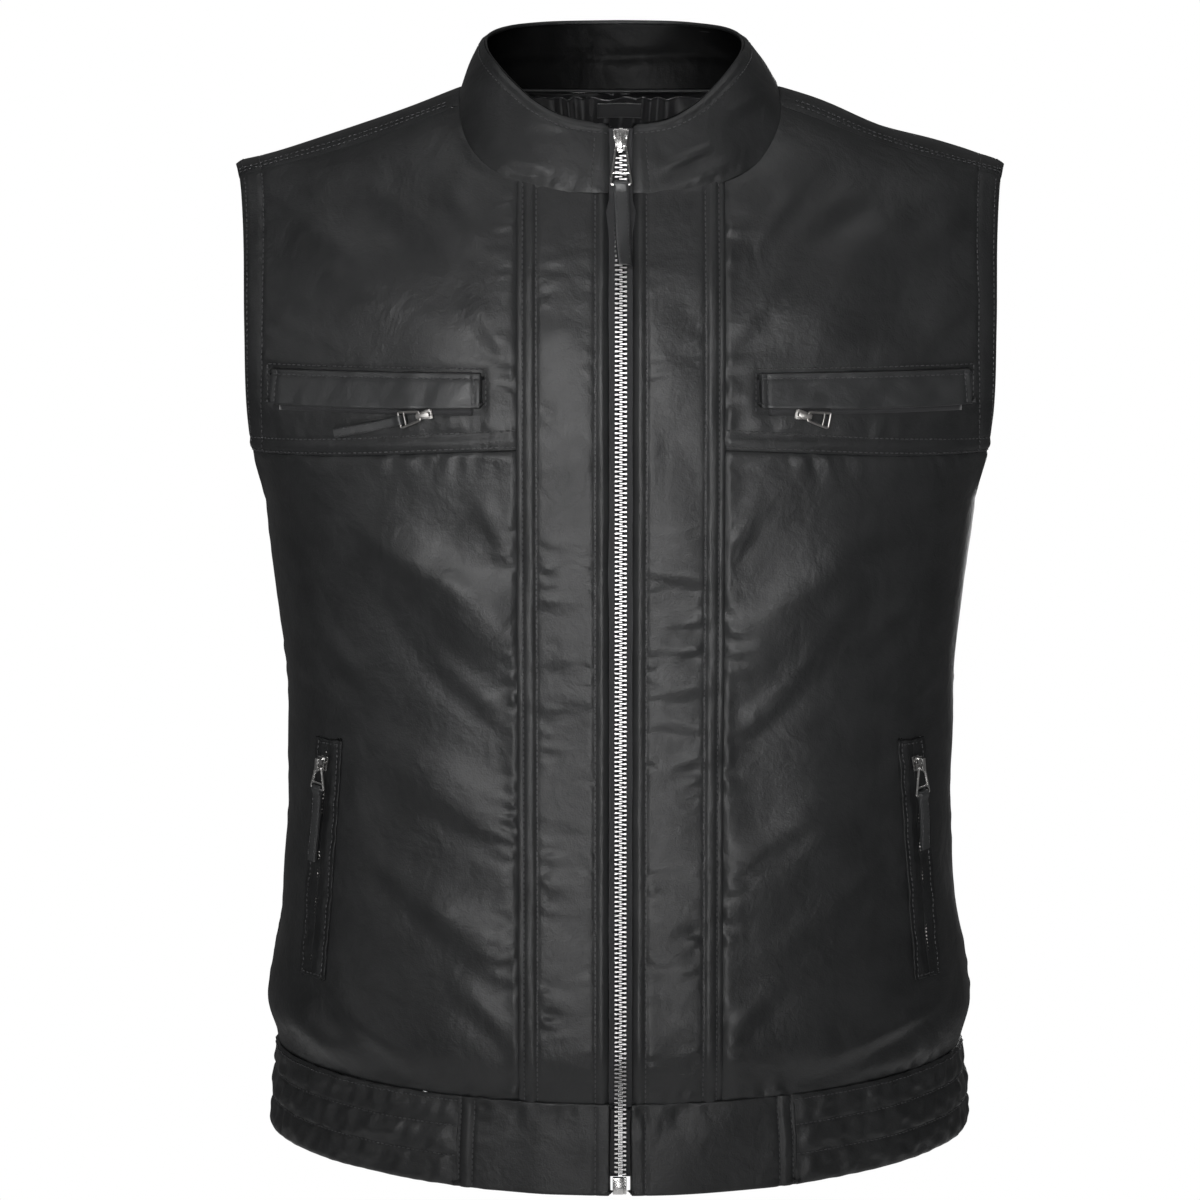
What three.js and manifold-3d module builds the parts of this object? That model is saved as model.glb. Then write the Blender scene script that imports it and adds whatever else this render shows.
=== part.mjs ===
// A black leather vest with a zip front, filled out as it is when worn.
// Each front is a narrow zip panel, a chest yoke and a lower side panel; the back is one piece that comes
// over the shoulders. A stand collar, a waistband with elasticated sides, two chest pockets under welts and
// two upright hand pockets are sewn on. All five zips have a slider and a wire pull, and all but one have a
// leather tab.
//
// Millimetres, +Z up, front facing -Y, the wearer's left on +X. The origin is where the wearer's shoulders
// carry the vest: in the middle of the neck, level with the shoulder line where it meets the collar.
import * as THREE from 'three';
import { mergeVertices } from 'three/addons/utils/BufferGeometryUtils.js';
import Module from 'manifold-3d';

const wasm = await Module();
wasm.setup();

// Heights
const hemZ = -650.5;
const bandSeamZ = -597;
const armholeFootZ = -252;
const shoulderTipZ = -47;
const frontNeckZ = -63;
const backNeckZ = -5;

// Cloth and seams
const leather = 1.6;
const collarLeather = 1.3;
const liningCloth = 0.8;
const seamGap = 0.3;
const gapHalf = seamGap / 2;
const neckGap = 0.6;

// Cut lines of the fronts, measured across from the zip
const zipEdgeX = 7.2;
const guardStitchX = 14.8;
const princessX = 60;
const princessStripWidth = 12;
const neckHalfWidth = 95;
const shoulderTipX = 231;
const yokeSeamClimb = 6.5;
const shoulderSeamClimb = 71;

// The rounding of the sections: across the chest, over the shoulder, and round the neck
const chestSquareness = 2.3;
const shoulderSquareness = 2.4;
const neckSquareness = 2.8;

// Sections of the torso below the armholes: half width, depth in front of and behind the side seams, and how
// square the curve is. Toward the hem the sides ride a little higher than the middle of the front and back.
const torso = [
  { z: -650.5, halfWidth: 216, front: 127, back: 113, squareness: 2.0 },
  { z: -625, halfWidth: 214.5, front: 125, back: 112, squareness: 2.02 },
  { z: -597, halfWidth: 212, front: 123, back: 109, squareness: 2.05 },
  { z: -570, halfWidth: 218, front: 128, back: 114, squareness: 2.1 },
  { z: -545, halfWidth: 215, front: 127, back: 111, squareness: 2.15 },
  { z: -510, halfWidth: 209, front: 123, back: 104, squareness: 2.2 },
  { z: -465, halfWidth: 205, front: 119, back: 97, squareness: 2.3 },
  { z: -415, halfWidth: 203, front: 117, back: 92, squareness: 2.3 },
  { z: -370, halfWidth: 203.5, front: 117, back: 91, squareness: 2.3 },
  { z: -310, halfWidth: 208.5, front: 120, back: 97, squareness: 2.3 },
  { z: -252, halfWidth: 215, front: 124, back: 106, squareness: 2.3 },
];

const sideRise = 9.5;
const sideRiseFromZ = -450;

// Sections over the shoulders, by degrees of climb from the armhole's foot at 0 to the shoulder ridge at 90
const shoulder = [
  { climb: 0, halfWidth: 215, front: 124, back: 106 },
  { climb: 9, halfWidth: 221, front: 124.5, back: 110 },
  { climb: 27, halfWidth: 221.5, front: 123, back: 117 },
  { climb: 45, halfWidth: 222, front: 120, back: 119 },
  { climb: 63, halfWidth: 224.5, front: 118, back: 118 },
  { climb: 78, halfWidth: 228, front: 118, back: 116 },
  { climb: 90, halfWidth: 231, front: 118, back: 116 },
];

// How far the armhole's edge reaches before and behind the shoulder ridge, and the climb where it has done so
const armholeReachFront = 77;
const armholeReachBack = 82;
const armholeFullClimb = 45;

// The largest folds: soft ridges between two points of the cloth, seen from the front or the back
const folds = [
  { face: 'front', x1: -150, z1: -250, x2: -55, z2: -335, width: 20, height: 4 },
  { face: 'front', x1: -150, z1: -385, x2: -58, z2: -428, width: 17, height: 3.5 },
  { face: 'front', x1: -120, z1: -470, x2: -58, z2: -520, width: 16, height: 3 },
  { face: 'front', x1: -206, z1: -548, x2: -160, z2: -585, width: 11, height: 4 },
  { face: 'front', x1: 205, z1: -575, x2: 130, z2: -587, width: 11, height: 3 },
  { face: 'front', x1: 150, z1: -270, x2: 60, z2: -350, width: 24, height: 3 },
  { face: 'front', x1: 140, z1: -420, x2: 62, z2: -480, width: 22, height: 3 },
  { face: 'front', x1: -185, z1: -80, x2: -85, z2: -165, width: 20, height: 2.5 },
  { face: 'front', x1: 165, z1: -75, x2: 95, z2: -160, width: 20, height: 2.5 },
  { face: 'back', x1: -170, z1: -150, x2: -60, z2: -230, width: 24, height: 3.5 },
  { face: 'back', x1: 175, z1: -155, x2: 70, z2: -240, width: 24, height: 3.5 },
  { face: 'back', x1: -165, z1: -380, x2: -40, z2: -420, width: 18, height: 4 },
  { face: 'back', x1: 160, z1: -400, x2: 30, z2: -440, width: 18, height: 4 },
  { face: 'back', x1: -150, z1: -500, x2: 10, z2: -520, width: 17, height: 3.5 },
  { face: 'back', x1: 150, z1: -535, x2: 40, z2: -560, width: 15, height: 3.5 },
];

// The collar's top edge by bearing round the neck from the zip, its size in plan, and its two sides' lean
const collarTop = [
  { bearing: 0, z: -24.5 },
  { bearing: 15, z: -21 },
  { bearing: 30, z: -12 },
  { bearing: 45, z: 0 },
  { bearing: 60, z: 11 },
  { bearing: 75, z: 19 },
  { bearing: 90, z: 25 },
  { bearing: 120, z: 32.5 },
  { bearing: 150, z: 35.5 },
  { bearing: 180, z: 36.5 },
];
const collarTopHalfWidth = { left: 75, right: 82 };
const collarTopFrontY = -85;
const collarTopBackY = 62;
const collarTopSquareness = 2.6;
const collarStandOff = 0.7;
const collarBulge = 1.2;

// The waistband: where each front tab ends, where the elastic ends at the back, and its gathers
const tabEndX = { left: 104, right: 97 };
const tabStripWidth = 10;
const elasticBackX = 95;
const gathersPerSide = 22;
const gatherHeight = 1.5;
const channelHeight = 1.2;
const channelsInBand = 3;
const bandThickness = 2.2;
const bandLift = 0.5;

// The neck lining, gathered under the collar at the back
const liningHalfWidth = 80;
const liningFootClimb = 36;
const liningPleats = 18;
const liningPleatDepth = 3.2;
const labelHalfWidth = 14;
const labelClimb = 4;

// The main zip: chain, tapes and the fittings at its ends
const chainHalfWidth = 3.6;
const chainThickness = 2.4;
const tapeThickness = 0.8;
const tapeOuterX = 13;
const zipBottomZ = -640;

// The pockets. Chest: a welt over a level zip. Hand: two lips either side of an upright zip.
const chestPocket = { innerX: 81, outerX: 203, topZ: -166.5, bottomZ: -185 };
const weltThickness = 1.6;
const weltLift = 3.9;
const handPocket = { topX: 173, topZ: -388, bottomX: 185, bottomZ: -537 };
const lipWidth = 5.4;
const lipThickness = 1.5;
const smallChainWidth = 4.4;
const smallChainThickness = 1.5;
const chestZipZ = -186;
const chestSliderX = { left: 104, right: 112 };
const chestSliderZ = -189.8;
const pocketSliderLift = 4;

// Sliders, and the wire pulls that hinge on their bridges
const wire = 1.5;
const bridgeWidth = 2.6;
const bridgeClear = 0.8;
const mainSlider = { width: 9.4, length: 13, gap: 2.2 };
const mainPull = { frameLength: 25, topHalf: 3.6, footHalf: 6.8, tabLength: 49, tip: -7 };
const pocketSlider = { width: 6, length: 9, gap: 1.2 };
const pocketPulls = {
  chest_left: { frameLength: 15, topHalf: 3.2, footHalf: 5.2, tip: 8 },
  chest_right: { frameLength: 14.5, topHalf: 3.2, footHalf: 5.4, tabLength: 42, tip: 9 },
  hand_left: { frameLength: 18, topHalf: 3.2, footHalf: 6.4, tabLength: 34, tip: 1 },
  hand_right: { frameLength: 14.5, topHalf: 3.2, footHalf: 6.2, tabLength: 45, tip: 0 },
};

// Colours
const black = new THREE.MeshStandardMaterial({ color: 0x1d1e1f, roughness: 0.45, metalness: 0 });
const satin = new THREE.MeshStandardMaterial({ color: 0x0c0c0d, roughness: 0.35, metalness: 0 });
const ribbon = new THREE.MeshStandardMaterial({ color: 0x101012, roughness: 0.9, metalness: 0 });
const nickel = new THREE.MeshStandardMaterial({ color: 0xc9c4bd, roughness: 0.25, metalness: 1 });

const degrees = Math.PI / 180;
const mix = THREE.MathUtils.lerp;
const signOf = { left: 1, right: -1 };
const vest = new THREE.Group();

// A named piece of the vest.
function addPiece(name, geometry, material, parent = vest) {
  const mesh = new THREE.Mesh(geometry, material);
  mesh.name = name;
  parent.add(mesh);
  return mesh;
}

// Values spread evenly from one number to another.
function spread(from, to, steps) {
  return Array.from({ length: steps + 1 }, (_, i) => mix(from, to, i / steps));
}

// The value of one column of a table, on a smooth curve through its rows.
function smooth(table, key, column, at) {
  const beyond = table.findIndex((row) => row[key] >= at);
  const last = table.length - 1;
  const i = beyond < 0 ? last : Math.max(1, beyond);
  const slope = (k) => {
    const low = table[Math.max(0, k - 1)];
    const high = table[Math.min(last, k + 1)];
    return (high[column] - low[column]) / (high[key] - low[key]);
  };
  const a = table[i - 1];
  const b = table[i];
  const span = b[key] - a[key];
  const t = (at - a[key]) / span;
  const rise = b[column] - a[column];
  const m0 = slope(i - 1) * span;
  const m1 = slope(i) * span;
  return a[column] + t * (m0 + t * (3 * rise - 2 * m0 - m1 + t * (m0 + m1 - 2 * rise)));
}

// A power that keeps the sign, for superellipses.
function power(value, exponent) {
  return Math.sign(value) * Math.abs(value) ** exponent;
}

// The height of the shoulder ridge over a point across the vest, rounded over the spine and dipping a little
// midway to the shoulder's tip.
const ridgeRound = 60;
const ridgeDip = 4;
const ridgeReach = (x) => Math.hypot(x, ridgeRound);
const ridgeSlope = -shoulderTipZ / (ridgeReach(shoulderTipX) - ridgeReach(88));
function ridgeZ(x) {
  const share = Math.min(1, Math.max(0, (Math.abs(x) - 88) / (shoulderTipX - 88)));
  const dip = ridgeDip * Math.sin(Math.PI * share) ** 2;
  return shoulderTipZ + ridgeSlope * (ridgeReach(shoulderTipX) - ridgeReach(x)) - dip;
}

// The section at a height. Where up is negative it is millimetres below the armhole's foot; where it is
// positive it is degrees of climb over the shoulder, past 90 on the far side of the ridge.
function sectionAt(face, up) {
  if (up <= 0) {
    const z = armholeFootZ + up;
    const halfWidth = smooth(torso, 'z', 'halfWidth', z);
    const depth = smooth(torso, 'z', face, z);
    const squareness = smooth(torso, 'z', 'squareness', z);
    return { halfWidth, depth, squareness, reach: 0, rise: 0, hug: 1, z };
  }
  const past = up > 90;
  const climb = past ? 180 - up : up;
  const here = past === (face === 'back') ? 'front' : 'back';
  const whole = here === 'front' ? armholeReachFront : armholeReachBack;
  const share = Math.min(climb / armholeFullClimb, 1);
  const halfWidth = smooth(shoulder, 'climb', 'halfWidth', climb);
  const depth = smooth(shoulder, 'climb', here, climb);
  const reach = whole * Math.sqrt(1 - (1 - share) ** 3);
  const rise = Math.sin(climb * degrees) ** (2 / shoulderSquareness);
  const hug = (past ? -1 : 1) * Math.max(0, Math.cos(climb * degrees)) ** (2 / shoulderSquareness);
  return { halfWidth, depth, squareness: chestSquareness, reach, rise, hug };
}

// The width that a section's curve would have if it ran on to the side, and the angle where its edge is.
function curveOf(section) {
  const k = section.squareness;
  const share = section.reach / section.depth;
  const width = section.halfWidth / (1 - share ** k) ** (1 / k);
  return { width, edge: Math.asin(Math.min(1, section.halfWidth / width)) };
}

// The angle round a section that lies a distance across from the middle.
function angleAcross(face, x, up) {
  return Math.asin(x / curveOf(sectionAt(face, up)).width);
}

// The smooth form that the cloth lies on: a point at an angle round the section and a height up.
function formPoint(face, side, angle, up) {
  const section = sectionAt(face, up);
  const { width } = curveOf(section);
  const k = section.squareness;
  const sine = Math.sin(angle);
  const x = width * sine;
  const out = power(Math.cos(angle), 1) < 0 ? -1 : 1;
  const across = out * Math.max(0, 1 - Math.abs(sine) ** k) ** (1 / k);
  const facing = face === 'front' ? -1 : 1;
  const other = face === 'front' ? 'back' : 'front';
  const depth = across < 0 ? sectionAt(other, up).depth : section.depth;
  const low = THREE.MathUtils.smoothstep(sideRiseFromZ - section.z, 0, sideRiseFromZ - bandSeamZ);
  const z = up <= 0 ? section.z + sideRise * low * sine * sine : mix(armholeFootZ, ridgeZ(x), section.rise);
  return new THREE.Vector3(signOf[side] * x, facing * depth * across * section.hug, z);
}

// The form's outward direction, from small steps either way.
function formNormal(face, side, angle, up) {
  const step = 0.004;
  const rise = up > 10 ? 0.4 : 1.5;
  const a = formPoint(face, side, angle - step, up);
  const b = formPoint(face, side, angle + step, up);
  const c = formPoint(face, side, angle, up - rise);
  const d = formPoint(face, side, angle, up + rise);
  const normal = b.sub(a).cross(d.sub(c)).normalize();
  const flip = (face === 'front' ? 1 : -1) * signOf[side];
  return normal.multiplyScalar(flip);
}

// How far the folds lift the cloth off the form at a point.
function foldLift(face, x, z) {
  return folds.reduce((total, fold) => {
    if (fold.face !== face) return total;
    const dx = fold.x2 - fold.x1;
    const dz = fold.z2 - fold.z1;
    const along = ((x - fold.x1) * dx + (z - fold.z1) * dz) / (dx * dx + dz * dz);
    const length = Math.hypot(dx, dz);
    const off = ((x - fold.x1) * dz - (z - fold.z1) * dx) / length;
    const past = Math.max(0, Math.abs(along - 0.5) * 2 - 0.35);
    return total + fold.height * Math.exp(-((off / fold.width) ** 2) - (past / 0.5) ** 2);
  }, 0);
}

// A point of the cloth, lifted off the form by its folds and by as much again as asked.
function clothPoint(face, side, angle, up, lift = 0) {
  const point = formPoint(face, side, angle, up);
  const normal = formNormal(face, side, angle, up);
  point.addScaledVector(normal, lift + foldLift(face, point.x, point.z));
  return { point, normal };
}

// The neckline on the form at a bearing round the neck, 0 at the zip and 180 at the centre back.
function neckline(bearing) {
  const sine = Math.max(0, Math.sin(bearing * degrees));
  const cosine = Math.cos(bearing * degrees);
  const x = neckHalfWidth * sine ** (2 / neckSquareness);
  const ridge = ridgeZ(neckHalfWidth);
  const lowest = cosine > 0 ? frontNeckZ : backNeckZ;
  const z = mix(ridge, lowest, Math.abs(cosine) ** (2 / neckSquareness));
  const rise = Math.min(1, (z - armholeFootZ) / (ridgeZ(x) - armholeFootZ));
  const climb = Math.asin(rise ** (shoulderSquareness / 2)) / degrees;
  return { face: cosine > 0 ? 'front' : 'back', x, up: climb };
}

// The bearing at which the neckline lies a distance across.
function bearingAcross(x) {
  return Math.asin((x / neckHalfWidth) ** (neckSquareness / 2)) / degrees;
}

// The bearing at which the front neckline has climbed to a height.
function bearingAtClimb(up) {
  let low = 0;
  let high = 90;
  for (let i = 0; i < 40; i += 1) {
    const middle = (low + high) / 2;
    if (neckline(middle).up < up) low = middle;
    else high = middle;
  }
  return high;
}

// Closes sheets of points into one wall. Points that two sheets share are joined. Each grid is rows of
// { point, normal }, and the inner face is the outer one set back by the thickness, or as a grid says.
function wall(grids, thickness) {
  const outer = [];
  const inner = [];
  const seen = new Map();
  const faces = [];
  const keyOf = (p) => p.toArray().map((v) => Math.round(v * 100)).join();
  const indexOf = ({ point, normal, back = 0 }) => {
    const key = keyOf(point);
    if (!seen.has(key)) {
      seen.set(key, outer.length);
      outer.push(point);
      inner.push(point.clone().addScaledVector(normal, -(thickness + back)));
    }
    return seen.get(key);
  };
  for (const grid of grids) {
    const middle = Math.floor(grid.length / 2);
    const column = Math.floor(grid[0].length / 2);
    const here = grid[middle - 1][column - 1];
    const u = grid[middle - 1][column].point.clone().sub(here.point);
    const v = grid[middle][column - 1].point.clone().sub(here.point);
    const outward = u.cross(v).dot(here.normal) > 0;
    const index = grid.map((row) => row.map(indexOf));
    for (let j = 0; j + 1 < index.length; j += 1) {
      for (let i = 0; i + 1 < index[j].length; i += 1) {
        const quad = [index[j][i], index[j][i + 1], index[j + 1][i + 1], index[j + 1][i]];
        if (!outward) quad.reverse();
        faces.push([quad[0], quad[1], quad[2]], [quad[0], quad[2], quad[3]]);
      }
    }
  }
  const sound = faces.filter(([a, b, c]) => a !== b && b !== c && c !== a);
  const used = new Set(sound.flatMap(([a, b, c]) => [`${a},${b}`, `${b},${c}`, `${c},${a}`]));
  const count = outer.length;
  const triangles = [];
  for (const [a, b, c] of sound) {
    triangles.push(a, b, c, a + count, c + count, b + count);
    for (const [p, q] of [[a, b], [b, c], [c, a]]) {
      if (used.has(`${q},${p}`)) continue;
      triangles.push(q, p, q + count, q + count, p, p + count);
    }
  }
  const positions = [...outer, ...inner].flatMap((p) => p.toArray());
  const geometry = new THREE.BufferGeometry();
  geometry.setAttribute('position', new THREE.Float32BufferAttribute(positions, 3));
  geometry.setIndex(triangles);
  return geometry;
}

// A closed geometry as a manifold solid, and back.
function toSolid(geometry) {
  const bare = geometry.clone();
  bare.deleteAttribute('normal');
  bare.deleteAttribute('uv');
  const merged = mergeVertices(bare, 1e-4);
  const vertProperties = merged.attributes.position.array;
  const triVerts = Uint32Array.from(merged.index.array);
  return new wasm.Manifold(new wasm.Mesh({ numProp: 3, vertProperties, triVerts }));
}
function fromSolid(solid) {
  const mesh = solid.getMesh();
  const geometry = new THREE.BufferGeometry();
  geometry.setAttribute('position', new THREE.BufferAttribute(new Float32Array(mesh.vertProperties), 3));
  geometry.setIndex(new THREE.BufferAttribute(mesh.triVerts, 1));
  return geometry;
}
function joinBlocks(...blocks) {
  return blocks.map(toSolid).reduce((a, b) => a.add(b));
}

// A flat outline with holes, drawn in x and z, with its thickness centred on y.
function plateOf(outlines, thickness) {
  const section = new wasm.CrossSection(outlines, 'EvenOdd');
  return section.extrude(thickness).rotate([90, 0, 0]).translate([0, thickness / 2, 0]);
}

// Front panels

// The zip panel: from the zip's edge to the princess seam, and from the waistband to the neckline. Its zip
// edge is rolled, and the stitched strip beside the princess seam stands up on its turnings.
const zipPanelColumns = [
  { x: zipEdgeX, lift: 0 },
  { x: 10.6, lift: 0.9 },
  { x: guardStitchX, lift: -0.2 },
  { x: 30, lift: 0 },
  { x: princessX - princessStripWidth, lift: -0.1 },
  { x: princessX - princessStripWidth / 2, lift: 0.9 },
  { x: princessX - gapHalf, lift: 0.2 },
];
const zipPanelRows = 22;
function makeZipPanel(side) {
  const bottom = bandSeamZ + seamGap - armholeFootZ;
  const grid = spread(0, 1, zipPanelRows).map((t) => zipPanelColumns.map(({ x, lift }) => {
    const top = neckline(bearingAcross(x)).up - seamGap;
    const reach = -bottom + top * 2.4;
    const along = t * reach;
    const up = along < -bottom ? bottom + along : (along + bottom) / 2.4;
    return clothPoint('front', side, angleAcross('front', x, up), up, lift);
  }));
  addPiece(`front_zip_panel_${side}`, wall([grid], leather), black);
}

// The angle at which a front or back ends at its side seam or armhole.
function edgeAngle(face, up) {
  const { width, edge } = curveOf(sectionAt(face, up));
  return up > 0.5 ? edge : edge - gapHalf / width;
}

// The lower side panel: from the princess seam to the side seam, round the armhole's foot to the yoke.
const sidePanelRows = [
  ...spread(bandSeamZ + seamGap - armholeFootZ, 0, 13),
  1.2, 3.2, 5.6, yokeSeamClimb - 0.1,
];
function makeSidePanel(side) {
  const grid = sidePanelRows.map((up) => {
    const from = angleAcross('front', princessX + gapHalf, up);
    return spread(from, edgeAngle('front', up), 9).map((angle) => clothPoint('front', side, angle, up));
  });
  addPiece(`front_side_panel_${side}`, wall([grid], leather), black);
}

// Rows that end on the neckline: from one bearing to another, as height up and distance across.
function neckRows(from, to, steps) {
  return spread(from, to, steps).map((bearing) => {
    const { x, up } = neckline(bearing);
    const past = from > 90 && bearing < 90;
    return { x: x + neckGap, up: past ? 180 - up : up - seamGap };
  });
}

// The chest yoke: from the princess seam and the neckline out to the armhole, up to the shoulder seam.
function makeYoke(side) {
  const corner = bearingAcross(princessX + gapHalf - neckGap);
  const alongNeck = neckRows(corner, bearingAtClimb(shoulderSeamClimb), 6);
  const below = spread(yokeSeamClimb + 0.1, alongNeck[0].up, 6).slice(0, -1);
  const rows = [...below.map((up) => ({ x: princessX + gapHalf, up })), ...alongNeck];
  const grid = rows.map(({ x, up }) => spread(angleAcross('front', x, up), edgeAngle('front', up), 9).map(
    (angle) => clothPoint('front', side, angle, up),
  ));
  addPiece(`front_yoke_${side}`, wall([grid], leather), black);
}

// Back

// The back in one piece: two halves that share the centre line up to the collar, then run on over the
// shoulders to the forward shoulder seam.
function makeBack() {
  const toCollar = neckline(180).up - seamGap;
  const below = [...spread(bandSeamZ + seamGap - armholeFootZ, 0, 11), 2, 5, 10, 18, 27, 36, 45, 53];
  const rows = [
    ...below.map((up) => ({ x: 0, up })), { x: 0, up: toCollar },
    ...neckRows(172, bearingAtClimb(shoulderSeamClimb + 0.25), 15),
  ];
  const halves = ['left', 'right'].map((side) => rows.map(({ x, up }) => spread(
    angleAcross('back', x, up), edgeAngle('back', up), 8,
  ).map((angle) => clothPoint('back', side, angle, up))));
  addPiece('back', wall(halves, leather), black);
}

// Collar

// A point of the collar: round the neck from the zip on one side to the centre back, and up from the seam.
const collarRound = 2 / collarTopSquareness;
function collarForm(side, round, high) {
  const topWidth = collarTopHalfWidth[side];
  const zipBearing = Math.asin((zipEdgeX / topWidth) ** (1 / collarRound)) / degrees;
  const { face, x, up } = neckline(mix(bearingAcross(zipEdgeX), 180, round));
  const angle = angleAcross(face, x, up);
  const base = formPoint(face, side, angle, up).addScaledVector(formNormal(face, side, angle, up), 0.6);
  base.z += collarStandOff;
  const bearing = mix(zipBearing, 180, round);
  const sine = Math.max(0, Math.sin(bearing * degrees)) ** collarRound;
  const cosine = power(Math.cos(bearing * degrees), collarRound);
  const middle = (collarTopFrontY + collarTopBackY) / 2;
  const half = (collarTopBackY - collarTopFrontY) / 2;
  const topZ = smooth(collarTop, 'bearing', 'z', bearing);
  const top = new THREE.Vector3(signOf[side] * topWidth * sine, middle - half * cosine, topZ);
  return base.lerp(top, high);
}
function collarPoint(side, round, high, setBack = 0) {
  const step = 0.01;
  const ahead = collarForm(side, Math.min(1, round + step), high);
  const along = ahead.sub(collarForm(side, Math.max(0, round - step), high));
  const upwards = collarForm(side, round, 1).sub(collarForm(side, round, 0));
  const normal = along.cross(upwards).multiplyScalar(signOf[side]).normalize();
  if (round === 1) normal.setX(0).normalize();
  const bulge = collarBulge * Math.sin(Math.PI * high);
  return { point: collarForm(side, round, high).addScaledVector(normal, bulge - setBack), normal };
}
const collarSteps = 17;
const collarRows = [0, 0.33, 0.67, 1];
function makeCollar() {
  const rounds = spread(0, 1, collarSteps);
  const sheets = (setBack) => ['left', 'right'].map((side) => collarRows.map(
    (high) => rounds.map((round) => collarPoint(side, round, high, setBack)),
  ));
  addPiece('collar', wall(sheets(0), collarLeather), black);
  addPiece('collar_facing', wall(sheets(collarLeather + seamGap), collarLeather - 0.3), black);
}

// Waistband

// A strip of the band between two angles of one face: rows of points, lifted by a rule for row and column.
function bandGrid(face, side, angles, heights, liftAt) {
  return heights.map((z, row) => angles.map((angle, column) => {
    const up = z - armholeFootZ;
    const point = formPoint(face, side, angle, up);
    const normal = formNormal(face, side, angle, up);
    return { point: point.addScaledVector(normal, bandLift + liftAt(row, column)), normal };
  }));
}
const bandTop = bandSeamZ - seamGap;
const bandMiddleUp = (bandTop + hemZ) / 2 - armholeFootZ;
function makeWaistband(side) {
  const across = (face, x) => angleAcross(face, x, bandMiddleUp);
  const tabEnd = tabEndX[side];
  const tabXs = [zipEdgeX, 10, 30, 55, tabEnd - tabStripWidth, tabEnd - tabStripWidth / 2, tabEnd - gapHalf];
  const tabLifts = [-0.4, 0.3, 0.1, 0, 0.1, 0.9, 0.2];
  const tabAngles = tabXs.map((x) => across('front', x));
  const tabLift = (row, i) => tabLifts[i] + (row % 4 ? 0.3 : 0);
  const tab = bandGrid('front', side, tabAngles, spread(bandTop, hemZ, 4), tabLift);
  addPiece(`hem_tab_${side}`, wall([tab], bandThickness), black);
  const heights = spread(bandTop, hemZ, channelsInBand * 2);
  const frontShare = Math.round(gathersPerSide * 0.52);
  const gathers = [
    { face: 'front', from: across('front', tabEnd + gapHalf), to: Math.PI / 2, count: frontShare, first: 0 },
    {
      face: 'back',
      from: Math.PI / 2,
      to: across('back', elasticBackX + gapHalf),
      count: gathersPerSide - frontShare,
      first: frontShare,
    },
  ];
  const elastic = gathers.map(({ face, from, to, count, first }) => {
    const angles = spread(from, to, count * 2);
    return bandGrid(face, side, angles, heights, (row, i) => {
      const uneven = 0.75 + 0.25 * Math.sin((first + Math.floor(i / 2)) * 2.4);
      const inChannel = row % 2;
      return (i % 2) * gatherHeight * uneven * (0.45 + 0.55 * inChannel) + channelHeight * inChannel;
    });
  });
  addPiece(`hem_elastic_${side}`, wall(elastic, bandThickness), black);
}
function makeHemBack() {
  const end = angleAcross('back', elasticBackX - gapHalf, bandMiddleUp);
  const halves = ['left', 'right'].map((side) => bandGrid(
    'back', side, spread(0, end, 5), spread(bandTop, hemZ, 4), (row) => (row % 4 ? 0.4 : 0),
  ));
  addPiece('hem_back', wall(halves, bandThickness), black);
}

// Neck lining and label

// A point inside the back, by distance across and degrees of climb, set in from the leather's outer face.
function insideBack(x, up, setIn) {
  const side = x < 0 ? 'right' : 'left';
  const angle = angleAcross('back', Math.abs(x), up);
  const point = formPoint('back', side, angle, up);
  const normal = formNormal('back', side, angle, up);
  return { point: point.addScaledVector(normal, -setIn), normal };
}
function makeLining() {
  const columns = spread(-1, 1, liningPleats * 2).map((u) => u * liningHalfWidth);
  const grid = spread(0, 1, 6).map((t) => columns.map((x, i) => {
    const seam = neckline(180 - bearingAcross(Math.abs(x))).up - 2;
    const up = mix(seam, liningFootClimb, t);
    const depth = liningPleatDepth * (0.4 + 0.6 * Math.sin(Math.PI * Math.min(1, t * 1.4 + 0.15)));
    return insideBack(x, up, leather + 1.6 + (i % 2) * depth);
  }));
  addPiece('lining_back', wall([grid], liningCloth), satin);
  const labelTop = neckline(180).up - 2.6;
  const labelDepth = leather + liningCloth + liningPleatDepth + 2.4;
  const label = spread(0, 1, 2).map((t) => spread(-labelHalfWidth, labelHalfWidth, 4).map(
    (x) => insideBack(x, labelTop - t * labelClimb, labelDepth),
  ));
  addPiece('neck_label', wall([label], liningCloth), ribbon);
}

// Zips

// A block by its size and middle.
function block(width, depth, height, x, y, z) {
  return new THREE.BoxGeometry(width, depth, height).translate(x, y, z);
}

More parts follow.
